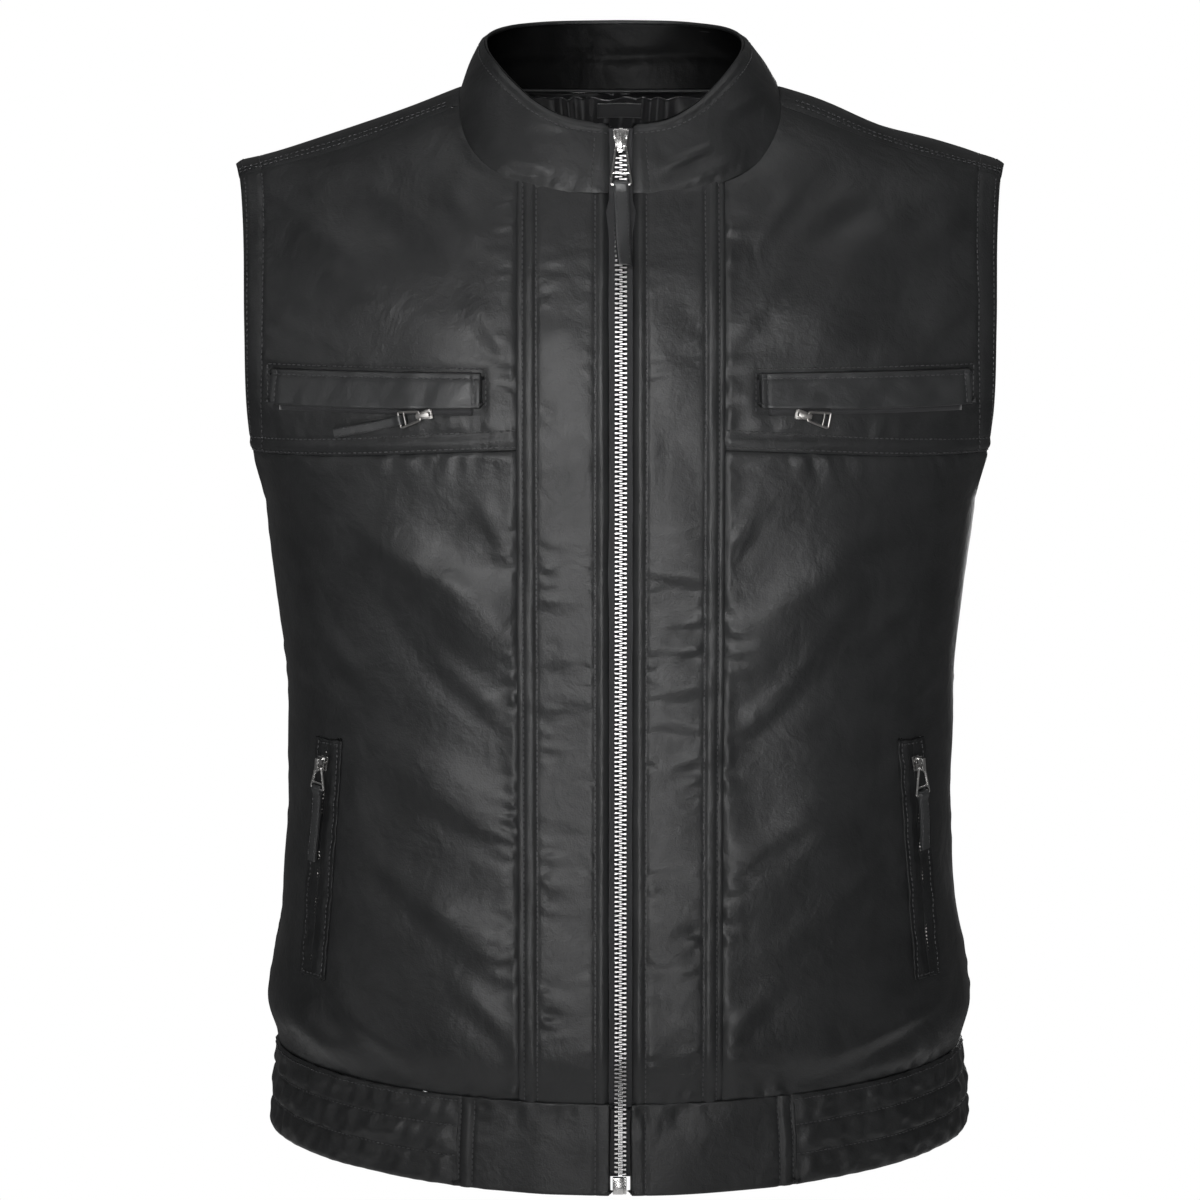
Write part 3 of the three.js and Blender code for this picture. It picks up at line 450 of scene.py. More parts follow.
def leather_look(name, dark=1.0, grain=1.0, roughness=0.47, gloss=0.28):
    """Black dyed leather: a fine pebble grain, soft wrinkles, and a polish that comes and goes."""
    material, nodes, links, shader = plain_look(name)

    def cloud(scale, detail, rough, distortion=0.0):
        return pattern(nodes, links, "ShaderNodeTexNoise", Scale=scale, Detail=detail, Roughness=rough,
                       Distortion=distortion).outputs["Fac"]

    dye = nodes.new("ShaderNodeValToRGB")
    dye.color_ramp.elements[0].position, dye.color_ramp.elements[1].position = 0.3, 0.75
    dye.color_ramp.elements[0].color = (0.0085 * dark, 0.0088 * dark, 0.0092 * dark, 1)
    dye.color_ramp.elements[1].color = (0.0165 * dark, 0.017 * dark, 0.0176 * dark, 1)
    links.new(cloud(38, 5, 0.6), dye.inputs["Fac"])
    links.new(dye.outputs["Color"], shader.inputs["Base Color"])
    uneven_polish(nodes, links, cloud(120, 4, 0.6), shader, roughness - 0.09, roughness + 0.13)
    shader.inputs["Specular IOR Level"].default_value = gloss
    shader.inputs["Coat Weight"].default_value = gloss * 0.3
    shader.inputs["Coat Roughness"].default_value = 0.28

    pebbles = pattern(nodes, links, "ShaderNodeTexVoronoi", "SMOOTH_F1", Scale=950, Smoothness=0.6)
    pores = relief(nodes, links, pebbles.outputs["Distance"], 0.22 * grain, 0.0004)
    pores.invert = True
    wrinkles = relief(nodes, links, cloud(150, 4, 0.6, 0.8), 0.24 * grain, 0.0014, pores)
    slack = relief(nodes, links, cloud(34, 3, 0.5, 0.5), 0.5, 0.004, wrinkles)
    links.new(slack.outputs["Normal"], shader.inputs["Normal"])
    return material


def satin_look(name, colour=(0.006, 0.006, 0.0068, 1), roughness=0.34):
    """Black acetate satin: close weave with a soft sheen."""
    material, nodes, links, shader = plain_look(name)
    cloud = pattern(nodes, links, "ShaderNodeTexNoise", Scale=60)
    two_tones(nodes, links, cloud.outputs["Fac"], shader, colour, tuple(c * 1.7 for c in colour[:3]) + (1,))
    weave = pattern(nodes, links, "ShaderNodeTexWave", Scale=1500, Distortion=0.6)
    threads = relief(nodes, links, weave.outputs["Fac"], 0.12, 0.0002)
    links.new(threads.outputs["Normal"], shader.inputs["Normal"])
    shader.inputs["Roughness"].default_value = roughness
    shader.inputs["Sheen Weight"].default_value = 0.25
    shader.inputs["Sheen Roughness"].default_value = 0.4
    return material


black_leather = leather_look("black_leather")
inside_satin = satin_look("inside_satin")


def roll_edge(points, normals, radius, turn, tail, lean, trimmed=(False, False)):
    """Carries the last row of a grid round a small curve to the inside, with a straight tail behind it. At a
    trimmed end the allowance is cut away to nearly nothing."""
    count = points.shape[1]
    fade = np.ones(count)
    for end, place in zip(trimmed, (np.arange(count), np.arange(count)[::-1])):
        if end:
            fade = np.minimum(fade, ((place - 3) / 6).clip(0.1, 1))
    radius, tail = radius * fade[:, None], tail * fade[:, None]
    edge, out = points[-1], normals[-1]
    away = edge - points[-4]
    away -= out * (away * out).sum(-1, keepdims=True)
    away /= np.linalg.norm(away, axis=-1, keepdims=True) + 1e-12
    new_points, new_normals = [points], [normals]
    for angle in np.radians(np.linspace(turn / 3, turn, 3)):
        bent = edge - out * radius * (1 - math.cos(angle)) + away * radius * math.sin(angle)
        new_points.append(bent[None])
        new_normals.append((out * math.cos(angle) + away * math.sin(angle))[None])
    onward = away * math.cos(math.radians(turn)) - out * math.sin(math.radians(turn)) + away * lean
    new_points.append(new_points[-1] + onward[None] * tail)
    new_normals.append(new_normals[-1])
    return np.concatenate(new_points), np.concatenate(new_normals)


# How an edge is turned: the radius of its bend, degrees, the straight allowance behind the bend, its lean
edge_kinds = {
    "seam": (0.7, 90, 3.2, 0.22),  # bent straight in
    "under": (0.8, 55, 8.0, 0.0),  # lies under the next piece
    "fold": (0.9, 165, 1.6, 0.0),  # doubled back
    "neck": (0.35, 75, 6.0, 0.0),  # goes down into the collar's seam
    "lip": (0.4, 80, 0.5, 0.0),  # a short bend against the piece beside it
}


def turned_edges(points, normals, edges):
    """Turns the named edges of a grid under, each in its kind."""
    for edge, kind in edges.items():
        radius, turn, tail, lean = edge_kinds[kind]
        across = edge in ("left", "right")
        first = edge in ("foot", "left")
        if across:
            points, normals = points.swapaxes(0, 1), normals.swapaxes(0, 1)
        if first:
            points, normals = points[::-1], normals[::-1]
        trimmed = (False, False) if across else (edges.get("left") == "fold", edges.get("right") == "fold")
        points, normals = roll_edge(points, normals, radius, turn, tail, lean, trimmed)
        if first:
            points, normals = points[::-1], normals[::-1]
        if across:
            points, normals = points.swapaxes(0, 1), normals.swapaxes(0, 1)
    return points, normals


def finished_piece(name, mesh, body, replaces):
    """Puts a finished mesh in the scene as a piece that moves with a body."""
    piece = bpy.data.objects.new(name, mesh)
    scene.collection.objects.link(piece)
    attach(piece, body)
    if replaces:
        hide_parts(*replaces)
    return piece


def cloth_piece(name, points, normals, materials, thickness=LEATHER, replaces=(),
                turned=None):
    """A sheet of cloth from a grid of points in millimetres, with its thickness on the inside. The first
    row is its foot and the first column its left edge."""
    points, normals = turned_edges(points, normals, turned or {})
    rows, columns = points.shape[:2]
    bm = bmesh.new()
    bmesh.ops.create_grid(bm, x_segments=columns - 1, y_segments=rows - 1, size=1)
    mesh = bpy.data.meshes.new(name)
    bm.to_mesh(mesh)
    bm.free()
    flat = np.empty(len(mesh.vertices) * 3)
    mesh.vertices.foreach_get("co", flat)
    flat = flat.reshape(-1, 3)
    i = np.rint((flat[:, 0] + 1) / 2 * (columns - 1)).astype(int)
    j = np.rint((flat[:, 1] + 1) / 2 * (rows - 1)).astype(int)
    mesh.vertices.foreach_set("co", (points[j, i] * MM).ravel())
    mesh.update()
    face = mesh.polygons[len(mesh.polygons) // 2]
    v = face.vertices[0]
    if face.normal @ Vector(normals[j[v], i[v]]) < 0:
        mesh.flip_normals()
    for m in materials:
        mesh.materials.append(m)
    mesh.polygons.foreach_set("use_smooth", np.ones(len(mesh.polygons), bool))
    piece = finished_piece(name, mesh, "garment", replaces)
    wall = piece.modifiers.new("thickness", "SOLIDIFY")
    wall.thickness = thickness * MM
    wall.offset = -1
    if len(materials) > 1:
        wall.material_offset = 1
    return piece


# Thread: one stitch is a small lozenge, and a row of them is one mesh.
bm = bmesh.new()
bmesh.ops.create_uvsphere(bm, u_segments=5, v_segments=3, radius=1)
bmesh.ops.rotate(bm, cent=(0, 0, 0), matrix=Matrix.Rotation(math.pi / 2, 3, "Y"), verts=bm.verts)
bmesh.ops.triangulate(bm, faces=bm.faces)
one_stitch = np.array([v.co for v in bm.verts], float)
one_stitch_faces = np.array([[v.index for v in f.verts] for f in bm.faces])
bm.free()
sewn = []


def arc_along(path):
    """Each point's distance along a path."""
    return np.concatenate([[0], np.cumsum(np.linalg.norm(np.diff(path, axis=0), axis=-1))])


def between(values, arc, places):
    """Points or directions at places along a path."""
    return np.stack([np.interp(places, arc, values[:, k]) for k in range(3)], -1)


STITCH_PITCH = 3.3


def sew(path, normals, pitch=STITCH_PITCH, length=2.5, radius=0.45, sink=-0.2, rows=sewn):
    """Adds a row of stitches along a path of points on the cloth, in millimetres."""
    arc = arc_along(path)
    if arc[-1] < pitch * 1.5:
        return
    places = np.arange(pitch * 0.5, arc[-1] - pitch * 0.3, pitch)
    at, out = between(path, arc, places), between(normals, arc, places)
    out /= np.linalg.norm(out, axis=-1, keepdims=True)
    along = between(path, arc, places + 0.5) - between(path, arc, places - 0.5)
    along /= np.linalg.norm(along, axis=-1, keepdims=True) + 1e-12
    side = np.cross(out, along)
    rows.append(
        (at - out * sink)[:, None, :]
        + one_stitch[None, :, 0:1] * along[:, None, :] * (length / 2)
        + one_stitch[None, :, 1:2] * side[:, None, :] * radius
        + one_stitch[None, :, 2:3] * out[:, None, :] * radius
    )


def sew_columns(points, out, distances, at):
    """Rows of stitches up the columns that lie nearest to so far from an edge."""
    for far in at:
        column = int(np.argmin(np.abs(distances - far)))
        sew(points[:, column], out[:, column])


def sew_rows(points, out, distances, at):
    """Rows of stitches along the rows that lie nearest to so far from an edge."""
    for far in at:
        row = int(np.argmin(np.abs(distances - far)))
        sew(points[row], out[row])


def raised(smooth, out, lift, outward):
    """The form lifted by the folds and seams, and its new outward directions."""
    points = smooth + out * lift[..., None]
    return points, normals_of(points, outward)


# Zip panels, each with a folded edge at the zip. Creases: x1, z1, x2, z2, width, height
zip_panel_creases = {
    -1: [(-60, -300, -16, -296, 5.6, 1.3), (-58, -334, -22, -330, 5.6, 1.2), (-60, -358, -14, -352, 6.3, 1.2),
         (-58, -420, -18, -430, 5.6, 0.8), (-60, -470, -14, -462, 7.0, 0.8), (-56, -215, -14, -222, 7.0, 0.7),
         (-58, -530, -18, -540, 7.0, 0.9), (-60, -150, -20, -140, 8.4, 0.7)],
    1: [(60, -285, 14, -279, 5.6, 1.5), (60, -305, 18, -312, 5.6, 1.4), (58, -326, 14, -322, 5.6, 1.5),
        (60, -345, 20, -352, 6.3, 1.6), (58, -372, 14, -366, 6.3, 1.5), (60, -388, 24, -394, 5.6, 1.3),
        (60, -455, 14, -449, 7.0, 1.3), (58, -482, 20, -490, 6.3, 1.2), (60, -512, 14, -506, 7.0, 1.3),
        (60, -545, 20, -552, 6.3, 1.0), (58, -200, 16, -190, 8.4, 0.8), (58, -120, 22, -105, 9.8, 0.8)],
}
# Columns lie close together beside the zip and the seam, where the rows of stitches are.
ZIP_ROW, SEAM_ROWS = 7.6, (3.3, 11.0)
ROW_CROWDING = 2.4
zip_panel_steps = [0, 1.3, 2.6, 3.9, 5.2, 6.5, 7.6, 8.7, 10.2, 12.5]
princess_steps = [0, 1.1, 2.2, 3.3, 4.4, 5.8, 7.3, 8.7, 9.9, 11.0, 12.1, 13.6, 15.6]
for side, word in ((1, "left"), (-1, "right")):
    bottom = BAND_SEAM_Z + 0.3 - ARMHOLE_FOOT_Z
    columns = np.concatenate([
        ZIP_EDGE_X + np.array(zip_panel_steps[:-1]),
        np.linspace(ZIP_EDGE_X + zip_panel_steps[-1], PRINCESS_X - SEAM_GAP - princess_steps[-1], 12),
        PRINCESS_X - SEAM_GAP - np.array(princess_steps[-2::-1]),
    ])
    top = neckline(bearing_across(columns))[1] + 0.1
    reach = -bottom + top * ROW_CROWDING
    along = np.linspace(0, 1, 266)[:, None] * reach[None, :]
    up = np.where(along < -bottom, bottom + along, (along + bottom) / ROW_CROWDING)
    x = np.broadcast_to(columns, up.shape)
    smooth = form_points("front", side, angle_across("front", x, up), up)
    out = normals_of(smooth, (0, -1, 0))
    from_zip, from_seam = x - ZIP_EDGE_X, PRINCESS_X - x
    foot = up_the_rows(smooth)
    lift = (
        (fold_lift("front", smooth) + 0.5 * crease_lift(smooth, zip_panel_creases[side])) * away_from(foot)
        + edge_roll(from_zip, 1.5, 1.6) + row_groove(from_zip, ZIP_ROW, 0.7, 1.0)
        + 0.5 * np.exp(-(((from_zip - 3.6) / 2.2) ** 2))
        + edge_roll(from_seam, 0.5, 0.8)
        + row_groove(from_seam, SEAM_ROWS[0]) + row_groove(from_seam, SEAM_ROWS[1], 0.7, 1.1)
        + 0.8 * np.exp(-(((from_seam - 7.2) / 3.4) ** 4))
        + seam_pucker(smooth, (from_seam - 13).clip(0), 3 + side, 0.6, 9, 12)
        + seam_pucker(smooth, (from_zip - 7).clip(0), 7 + side, 0.5, 6, 8)
        + edge_roll(foot, 0.4, 1.6) + seam_pucker(smooth, foot, 11, 0.5, 10, 14, True)
        + 0.55 * ripple(smooth, 60, 15 + side) * away_from(foot) * away_from(from_seam)
    )
    points, out = raised(smooth, out, lift, (0, -1, 0))
    zip_panel = cloth_piece(f"zip_panel_{word}", points, out, [black_leather, inside_satin],
                            replaces=[f"front_zip_panel_{word}"],
                            turned={"left": "fold", "right": "under", "foot": "under", "top": "neck"})
    sew_columns(points, out, from_zip[0], [ZIP_ROW])
    sew_columns(points, out, from_seam[0], SEAM_ROWS)

# Lower side panels, from the zip panel's seam round to the side seam, with long slack diagonals.
side_panel_creases = {
    -1: [(-164, -232, -76, -326, 22, 2.6), (-150, -262, -75, -300, 8, 1.0),
         (-110, -330, -64, -372, 8, 1.6), (-190, -310, -150, -350, 7, 1.3),
         (-195, -345, -165, -362, 5, 1.0), (-120, -410, -64, -440, 8, 1.4), (-150, -450, -90, -500, 9, 1.4),
         (-100, -520, -62, -560, 8, 1.6), (-175, -540, -120, -582, 8, 1.5), (-205, -500, -190, -560, 7, 1.2),
         (-140, -285, -100, -345, 9, 1.3), (-85, -232, -64, -280, 7, 1.2)],
    1: [(156, -240, 74, -328, 22, 2.3), (150, -262, 75, -310, 9, 0.9),
        (118, -330, 64, -382, 8, 1.5), (190, -290, 140, -330, 7, 1.2),
        (120, -420, 64, -455, 8, 1.4), (160, -455, 90, -510, 9, 1.3), (100, -520, 62, -556, 8, 1.5),
        (175, -555, 110, -578, 7, 1.6), (200, -545, 150, -565, 6, 1.3), (140, -290, 96, -352, 9, 1.2),
        (84, -236, 64, -270, 7, 1.1), (190, -350, 172, -365, 6, 1.1)],
}
seam_steps = [0, 1.1, 2.3, 3.8, 5.6]
COLUMN_SPACING = 2.3
HAND_TOP, HAND_FOOT = (173.0, -388.0), (185.0, -537.0)
for side, word in ((1, "left"), (-1, "right")):
    rows = np.concatenate([
        [BAND_SEAM_Z + 0.3 - ARMHOLE_FOOT_Z + d for d in (0, 1.2, 2.6, 4.2)],
        np.linspace(BAND_SEAM_Z + 6.5 - ARMHOLE_FOOT_Z, -1, 150), [0, 0.4, 0.9],
        np.linspace(1.4, YOKE_SEAM_CLIMB - 1.2, 11), YOKE_SEAM_CLIMB - np.array([0.75, 0.4, 0.1]),
    ])
    smooth, from_seam, from_side = panel_grid("front", side, rows, PRINCESS_X + SEAM_GAP, seam_steps,
                                              seam_steps, COLUMN_SPACING)
    out = normals_of(smooth, (side * 0.5, -1, 0))
    foot = up_the_rows(smooth)
    from_top = foot[-1:] - foot
    calm = calm_near(smooth, side * HAND_TOP[0], HAND_TOP[1], side * HAND_FOOT[0], HAND_FOOT[1], 11)
    lift = (
        fold_lift("front", smooth) * away_from(foot)
        + (crease_lift(smooth, side_panel_creases[side]) + 0.8 * ripple(smooth, 70, 31 + side))
        * calm * away_from(foot) * away_from(from_top) * away_from(from_seam) * away_from(from_side)
        + edge_roll(from_seam, 0.9, 1.5) + edge_roll(from_side, 0.7, 1.5)
        + seam_pucker(smooth, from_seam, 21 + side, 0.9, 11, 11)
        + seam_pucker(smooth, from_side, 23 + side, 0.5, 9, 12)
        + edge_roll(foot, 0.4, 1.8) + seam_pucker(smooth, foot, 25 + side, 0.8, 13, 15, True)
        + edge_roll(from_top, 0.9, 1.4) + seam_pucker(smooth, from_top, 27 + side, 0.7, 10, 12, True)
    )
    points, out = raised(smooth, out, lift, (side * 0.5, -1, 0))
    side_panel = cloth_piece(f"side_panel_{word}", points, out, [black_leather, inside_satin],
                             replaces=[f"front_side_panel_{word}"],
                             turned={"left": "seam", "right": "seam", "foot": "under", "top": "under"})

# Chest yokes, from the chest seam up over the front of the shoulder. The chest seam is stitched on this side.
yoke_creases = {
    -1: [(-200, -70, -150, -110, 9, 1.2), (-150, -60, -100, -90, 9, 1.1), (-90, -120, -64, -160, 8, 1.2),
         (-205, -130, -170, -150, 8, 1.1), (-120, -190, -66, -196, 6, 0.9), (-100, -60, -78, -100, 7, 1.1)],
    1: [(200, -75, 150, -120, 9, 1.2), (150, -55, 100, -85, 9, 1.1), (92, -110, 64, -150, 8, 1.3),
        (208, -120, 176, -150, 8, 1.1), (130, -192, 68, -194, 6, 0.9), (102, -60, 78, -96, 7, 1.1)],
}
armhole_steps = [0, 0.8, 1.7, 3.0, 4.3, 6, 8, 10, 12.8, 14, 15.2, 17.5]
ARMHOLE_ROWS, CHEST_ROWS = (3.0, 14.0), (2.0, 9.6)
UNDER_COLLAR = 0.8  # how far the neck edges are tucked under the collar
for side, word in ((1, "left"), (-1, "right")):
    corner = float(bearing_across(PRINCESS_X + SEAM_GAP + UNDER_COLLAR))
    bearings = np.linspace(corner, float(bearing_at_climb(SHOULDER_SEAM_CLIMB)), 44)
    neck_x, neck_up = neckline(bearings)
    neck_up = neck_up - 0.3
    start = YOKE_SEAM_CLIMB + 0.1
    below = np.concatenate([start + np.array([0, 0.28, 0.56, 0.85, 1.3, 1.75, 2.1, 2.45, 2.8, 3.2]),
                            np.linspace(start + 3.7, neck_up[0], 58)[:-1]])
    rows = np.concatenate([below, neck_up])
    inner_x = np.concatenate([np.full(len(below), PRINCESS_X + SEAM_GAP), neck_x - UNDER_COLLAR])
    smooth, from_inner, from_armhole = panel_grid("front", side, rows, inner_x, seam_steps, armhole_steps,
                                                  COLUMN_SPACING)
    out = normals_of(smooth, (side * 0.3, -1, 0.3))
    foot = up_the_rows(smooth)
    from_top = foot[-1:] - foot
    on_seam = (rows < neck_up[0])[:, None]
    calm = calm_near(smooth, side * 84, -176, side * 200, -176, 17)
    beside = np.maximum(np.abs(np.abs(smooth[..., 0]) - 142) - 61, np.abs(smooth[..., 2] + 175.8) - 9.3)
    lift = (
        fold_lift("front", smooth) - 1.3 * np.exp(-(((beside - 0.8) / 2.4) ** 2))
        + (crease_lift(smooth, yoke_creases[side]) + 0.7 * ripple(smooth, 65, 47 + side))
        * calm * away_from(foot) * away_from(from_top) * away_from(from_inner) * away_from(from_armhole)
        + np.where(on_seam, 1, 0.15) * edge_roll(from_inner, 0.8, 1.5)
        + np.where(on_seam, 1, 0.4) * seam_pucker(smooth, from_inner, 41 + side, 0.7, 10, 11)
        + edge_roll(from_armhole, 1.2, 1.4)
        + row_groove(from_armhole, ARMHOLE_ROWS[0], 0.45) + row_groove(from_armhole, ARMHOLE_ROWS[1], 0.6)
        + seam_pucker(smooth, (from_armhole - 13).clip(0), 43 + side, 0.55, 7, 10)
        + edge_roll(foot, 0.6, 0.9)
        + row_groove(foot, CHEST_ROWS[0], 0.45) + row_groove(foot, CHEST_ROWS[1], 0.6, 1.0)
        + 0.6 * np.exp(-(((foot - 5.8) / 3.0) ** 4))
        + seam_pucker(smooth, (foot - 10).clip(0), 45 + side, 0.7, 9, 11, True)
        + edge_roll(from_top, 0.2, 1.2)
    )
    points, out = raised(smooth, out, lift, (side * 0.3, -1, 0.3))
    yoke = cloth_piece(f"yoke_{word}", points, out, [black_leather, inside_satin],
                       replaces=[f"front_yoke_{word}"],
                       turned={"left": "seam", "right": "fold", "foot": "seam", "top": "neck"})
    sew_rows(points, out, foot[:, foot.shape[1] // 2], CHEST_ROWS)
    for distance in ARMHOLE_ROWS:
        column = points.shape[1] - 1 - armhole_steps.index(distance)
        sew(points[:, column], out[:, column])

# ---- Back ----
# One big piece of the same leather from the waistband to the collar, coming forward over both shoulders to
# the shoulder seams. Its slack gathers in broad folds across the small of the back.
back_creases = [
    (-150, -160, -60, -240, 12, 1.6), (150, -165, 62, -235, 12, 1.5), (-60, -110, 40, -122, 14, 1.2),
    (-170, -300, -60, -350, 11, 1.8), (165, -310, 70, -352, 11, 1.7), (-110, -380, 30, -402, 10, 2.0),
    (-20, -420, 120, -446, 10, 1.9), (-150, -450, -30, -476, 10, 1.8), (30, -500, 150, -520, 10, 1.7),
    (-120, -530, 20, -552, 9, 1.8), (-190, -520, -120, -575, 9, 1.5), (190, -530, 120, -578, 9, 1.5),
    (-200, -250, -160, -290, 8, 1.3), (200, -255, 160, -300, 8, 1.3),
]
to_collar = float(neckline(180.0)[1]) - 0.3
last = float(bearing_at_climb(SHOULDER_SEAM_CLIMB + 0.25))
bearings = np.linspace(178, last, 74)
neck_x, neck_up = neckline(bearings)
neck_up = np.where(bearings < 90, 180 - neck_up, neck_up - 0.3)
below = np.concatenate([
    [BAND_SEAM_Z + 0.3 - ARMHOLE_FOOT_Z + d for d in (0, 1.2, 2.6, 4.4)],
    np.linspace(BAND_SEAM_Z + 7 - ARMHOLE_FOOT_Z, -1, 112), [0, 0.5, 1.0],
    np.linspace(1.6, to_collar, 62),
])
rows = np.concatenate([below, neck_up])
inner_x = np.concatenate([np.zeros(len(below)), (neck_x - UNDER_COLLAR).clip(0)])
BACK_COLUMN_SPACING = 3.3
SHOULDER_ROWS = (2.0, 9.0)
FAR_AWAY = 99
halves = {side: panel_grid("back", side, rows, inner_x, [0, 2.6], armhole_steps, BACK_COLUMN_SPACING)
          for side in (1, -1)}
half_columns = halves[1][0].shape[1]


def both_halves(left, right):
    """A grid right across the back, from its right edge to its left, from its two halves."""
    return np.concatenate([right[:, ::-1], left], 1)


smooth, from_edge = (both_halves(halves[1][k], halves[-1][k]) for k in (0, 2))
out = both_halves(*(normals_of(halves[side][0], (0, 1, 0.3)) for side in (1, -1)))
on_armhole = (rows > 0)[:, None]
foot = up_the_rows(smooth)
from_top = foot[-1:] - foot
beside_neck = (rows > to_collar - 0.01)[:, None]
from_neck = np.where(beside_neck, (np.abs(smooth[..., 0]) - inner_x[:, None]).clip(0), FAR_AWAY)
straight = (rows <= to_collar + 0.01)
out[straight, half_columns - 1:half_columns + 1, 0] = 0
out /= np.linalg.norm(out, axis=-1, keepdims=True)
lift = (
    (fold_lift("back", smooth) + crease_lift(smooth, back_creases)) * (smooth[..., 1] > 0) * away_from(foot)
    + edge_roll(from_edge, 0.9, 1.4)
    + np.where(on_armhole, row_groove(from_edge, ARMHOLE_ROWS[0], 0.45)
               + row_groove(from_edge, ARMHOLE_ROWS[1], 0.6), 0)
    + seam_pucker(smooth, np.where(on_armhole, (from_edge - 13).clip(0), from_edge), 51, 0.55, 8, 11)
    + edge_roll(foot, 1.1, 2.2) + seam_pucker(smooth, foot, 53, 1.0, 13, 13, True)
    + edge_roll(from_neck, 0.15, 1.5) + edge_roll(from_top, 0.6, 1.2)
    + row_groove(from_top, SHOULDER_ROWS[0], 0.4) + row_groove(from_top, SHOULDER_ROWS[1], 0.5)
    + 0.9 * ripple(smooth, 75, 55) * away_from(foot) * away_from(from_top) * away_from(from_edge)
)
points = smooth + out * lift[..., None]
left_points, right_points = points[:, half_columns:], points[:, :half_columns][:, ::-1]
middle = (left_points[:, 0] + right_points[:, 0]) / 2
left_points[straight, 0] = middle[straight]
right_points[straight, 0] = middle[straight]
back_pieces = [("left", left_points, out[:, half_columns:]),
               ("right", right_points, out[:, :half_columns][:, ::-1])]
for word, part, part_out in back_pieces:
    for distance in ARMHOLE_ROWS:
        column = part.shape[1] - 1 - armhole_steps.index(distance)
        sew(part[rows > 0, column], part_out[rows > 0, column])
    height = up_the_rows(part)[:, part.shape[1] // 2]
    sew_rows(part[:, 5:], part_out[:, 5:], height[-1] - height, SHOULDER_ROWS)


def weld_halves(name, parts, materials, thickness, replaces, turned):
    """Joins the mirrored halves of a piece along the middle where they meet, as one sheet."""
    pieces = [cloth_piece(f"{name}_{word}", p, n, materials, thickness, turned=turned)
              for word, p, n in parts]
    bm = bmesh.new()
    for piece in pieces:
        bm.from_mesh(piece.data)
    bmesh.ops.remove_doubles(bm, verts=bm.verts, dist=0.00002)
    bm.to_mesh(pieces[0].data)
    bm.free()
    bpy.data.objects.remove(pieces[1])
    pieces[0].name = name
    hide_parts(*replaces)
    return pieces[0]


back = weld_halves("back_panel", back_pieces, [black_leather, inside_satin], LEATHER, ["back"],
                   {"right": "fold", "foot": "under", "top": "neck"})

# ---- Collar ----
# A stand collar of the same leather, cut double: the outside turns over a stiffened top edge, is topstitched
# close to it, and comes down inside as the facing.
COLLAR_LEATHER, FACING_LEATHER = 1.3, 0.4
COLLAR_TOP_ROW, COLLAR_COLUMNS = 5.2, 150
# bearing from the zip, z of the top edge
collar_top = np.array([(0, -24.5), (15, -21), (30, -12), (45, 0), (60, 11), (75, 19), (90, 25), (120, 32.5),
                       (150, 35.5), (180, 36.5)], float)
COLLAR_TOP_HALF = {1: 75.0, -1: 82.0}
COLLAR_FRONT_Y, COLLAR_BACK_Y, COLLAR_SQUARE = -85.0, 62.0, 2.6
collar_grain = leather_look("collar_leather", grain=0.8)


def collar_form(side, round_share, high):
    """The collar's line: round the neck from the zip to the centre back, and up from the neck seam."""
    start = float(bearing_across(ZIP_EDGE_X))
    bearing = start + (180 - start) * round_share
    x, up = neckline(bearing)
    base = np.where((bearing < 90)[..., None],
                    form_points("front", side, angle_across("front", x, up), up),
                    form_points("back", side, angle_across("back", x, up), up))
    base = base + np.array([0, 0, -0.3])
    base[..., 1] += np.where(bearing < 90, -0.5, 0.5)
    width = COLLAR_TOP_HALF[side]
    start = math.degrees(math.asin((ZIP_EDGE_X / width) ** (COLLAR_SQUARE / 2)))
    bearing = start + (180 - start) * round_share
    sine, cosine = np.sin(np.radians(bearing)).clip(0), np.cos(np.radians(bearing))
    middle, half = (COLLAR_FRONT_Y + COLLAR_BACK_Y) / 2, (COLLAR_BACK_Y - COLLAR_FRONT_Y) / 2
    top = np.stack([
        side * width * sine ** (2 / COLLAR_SQUARE),
        middle - half * np.sign(cosine) * np.abs(cosine) ** (2 / COLLAR_SQUARE),
        column_at(collar_top, 1, bearing),
    ], -1)
    return base + (top - base) * high[..., None]


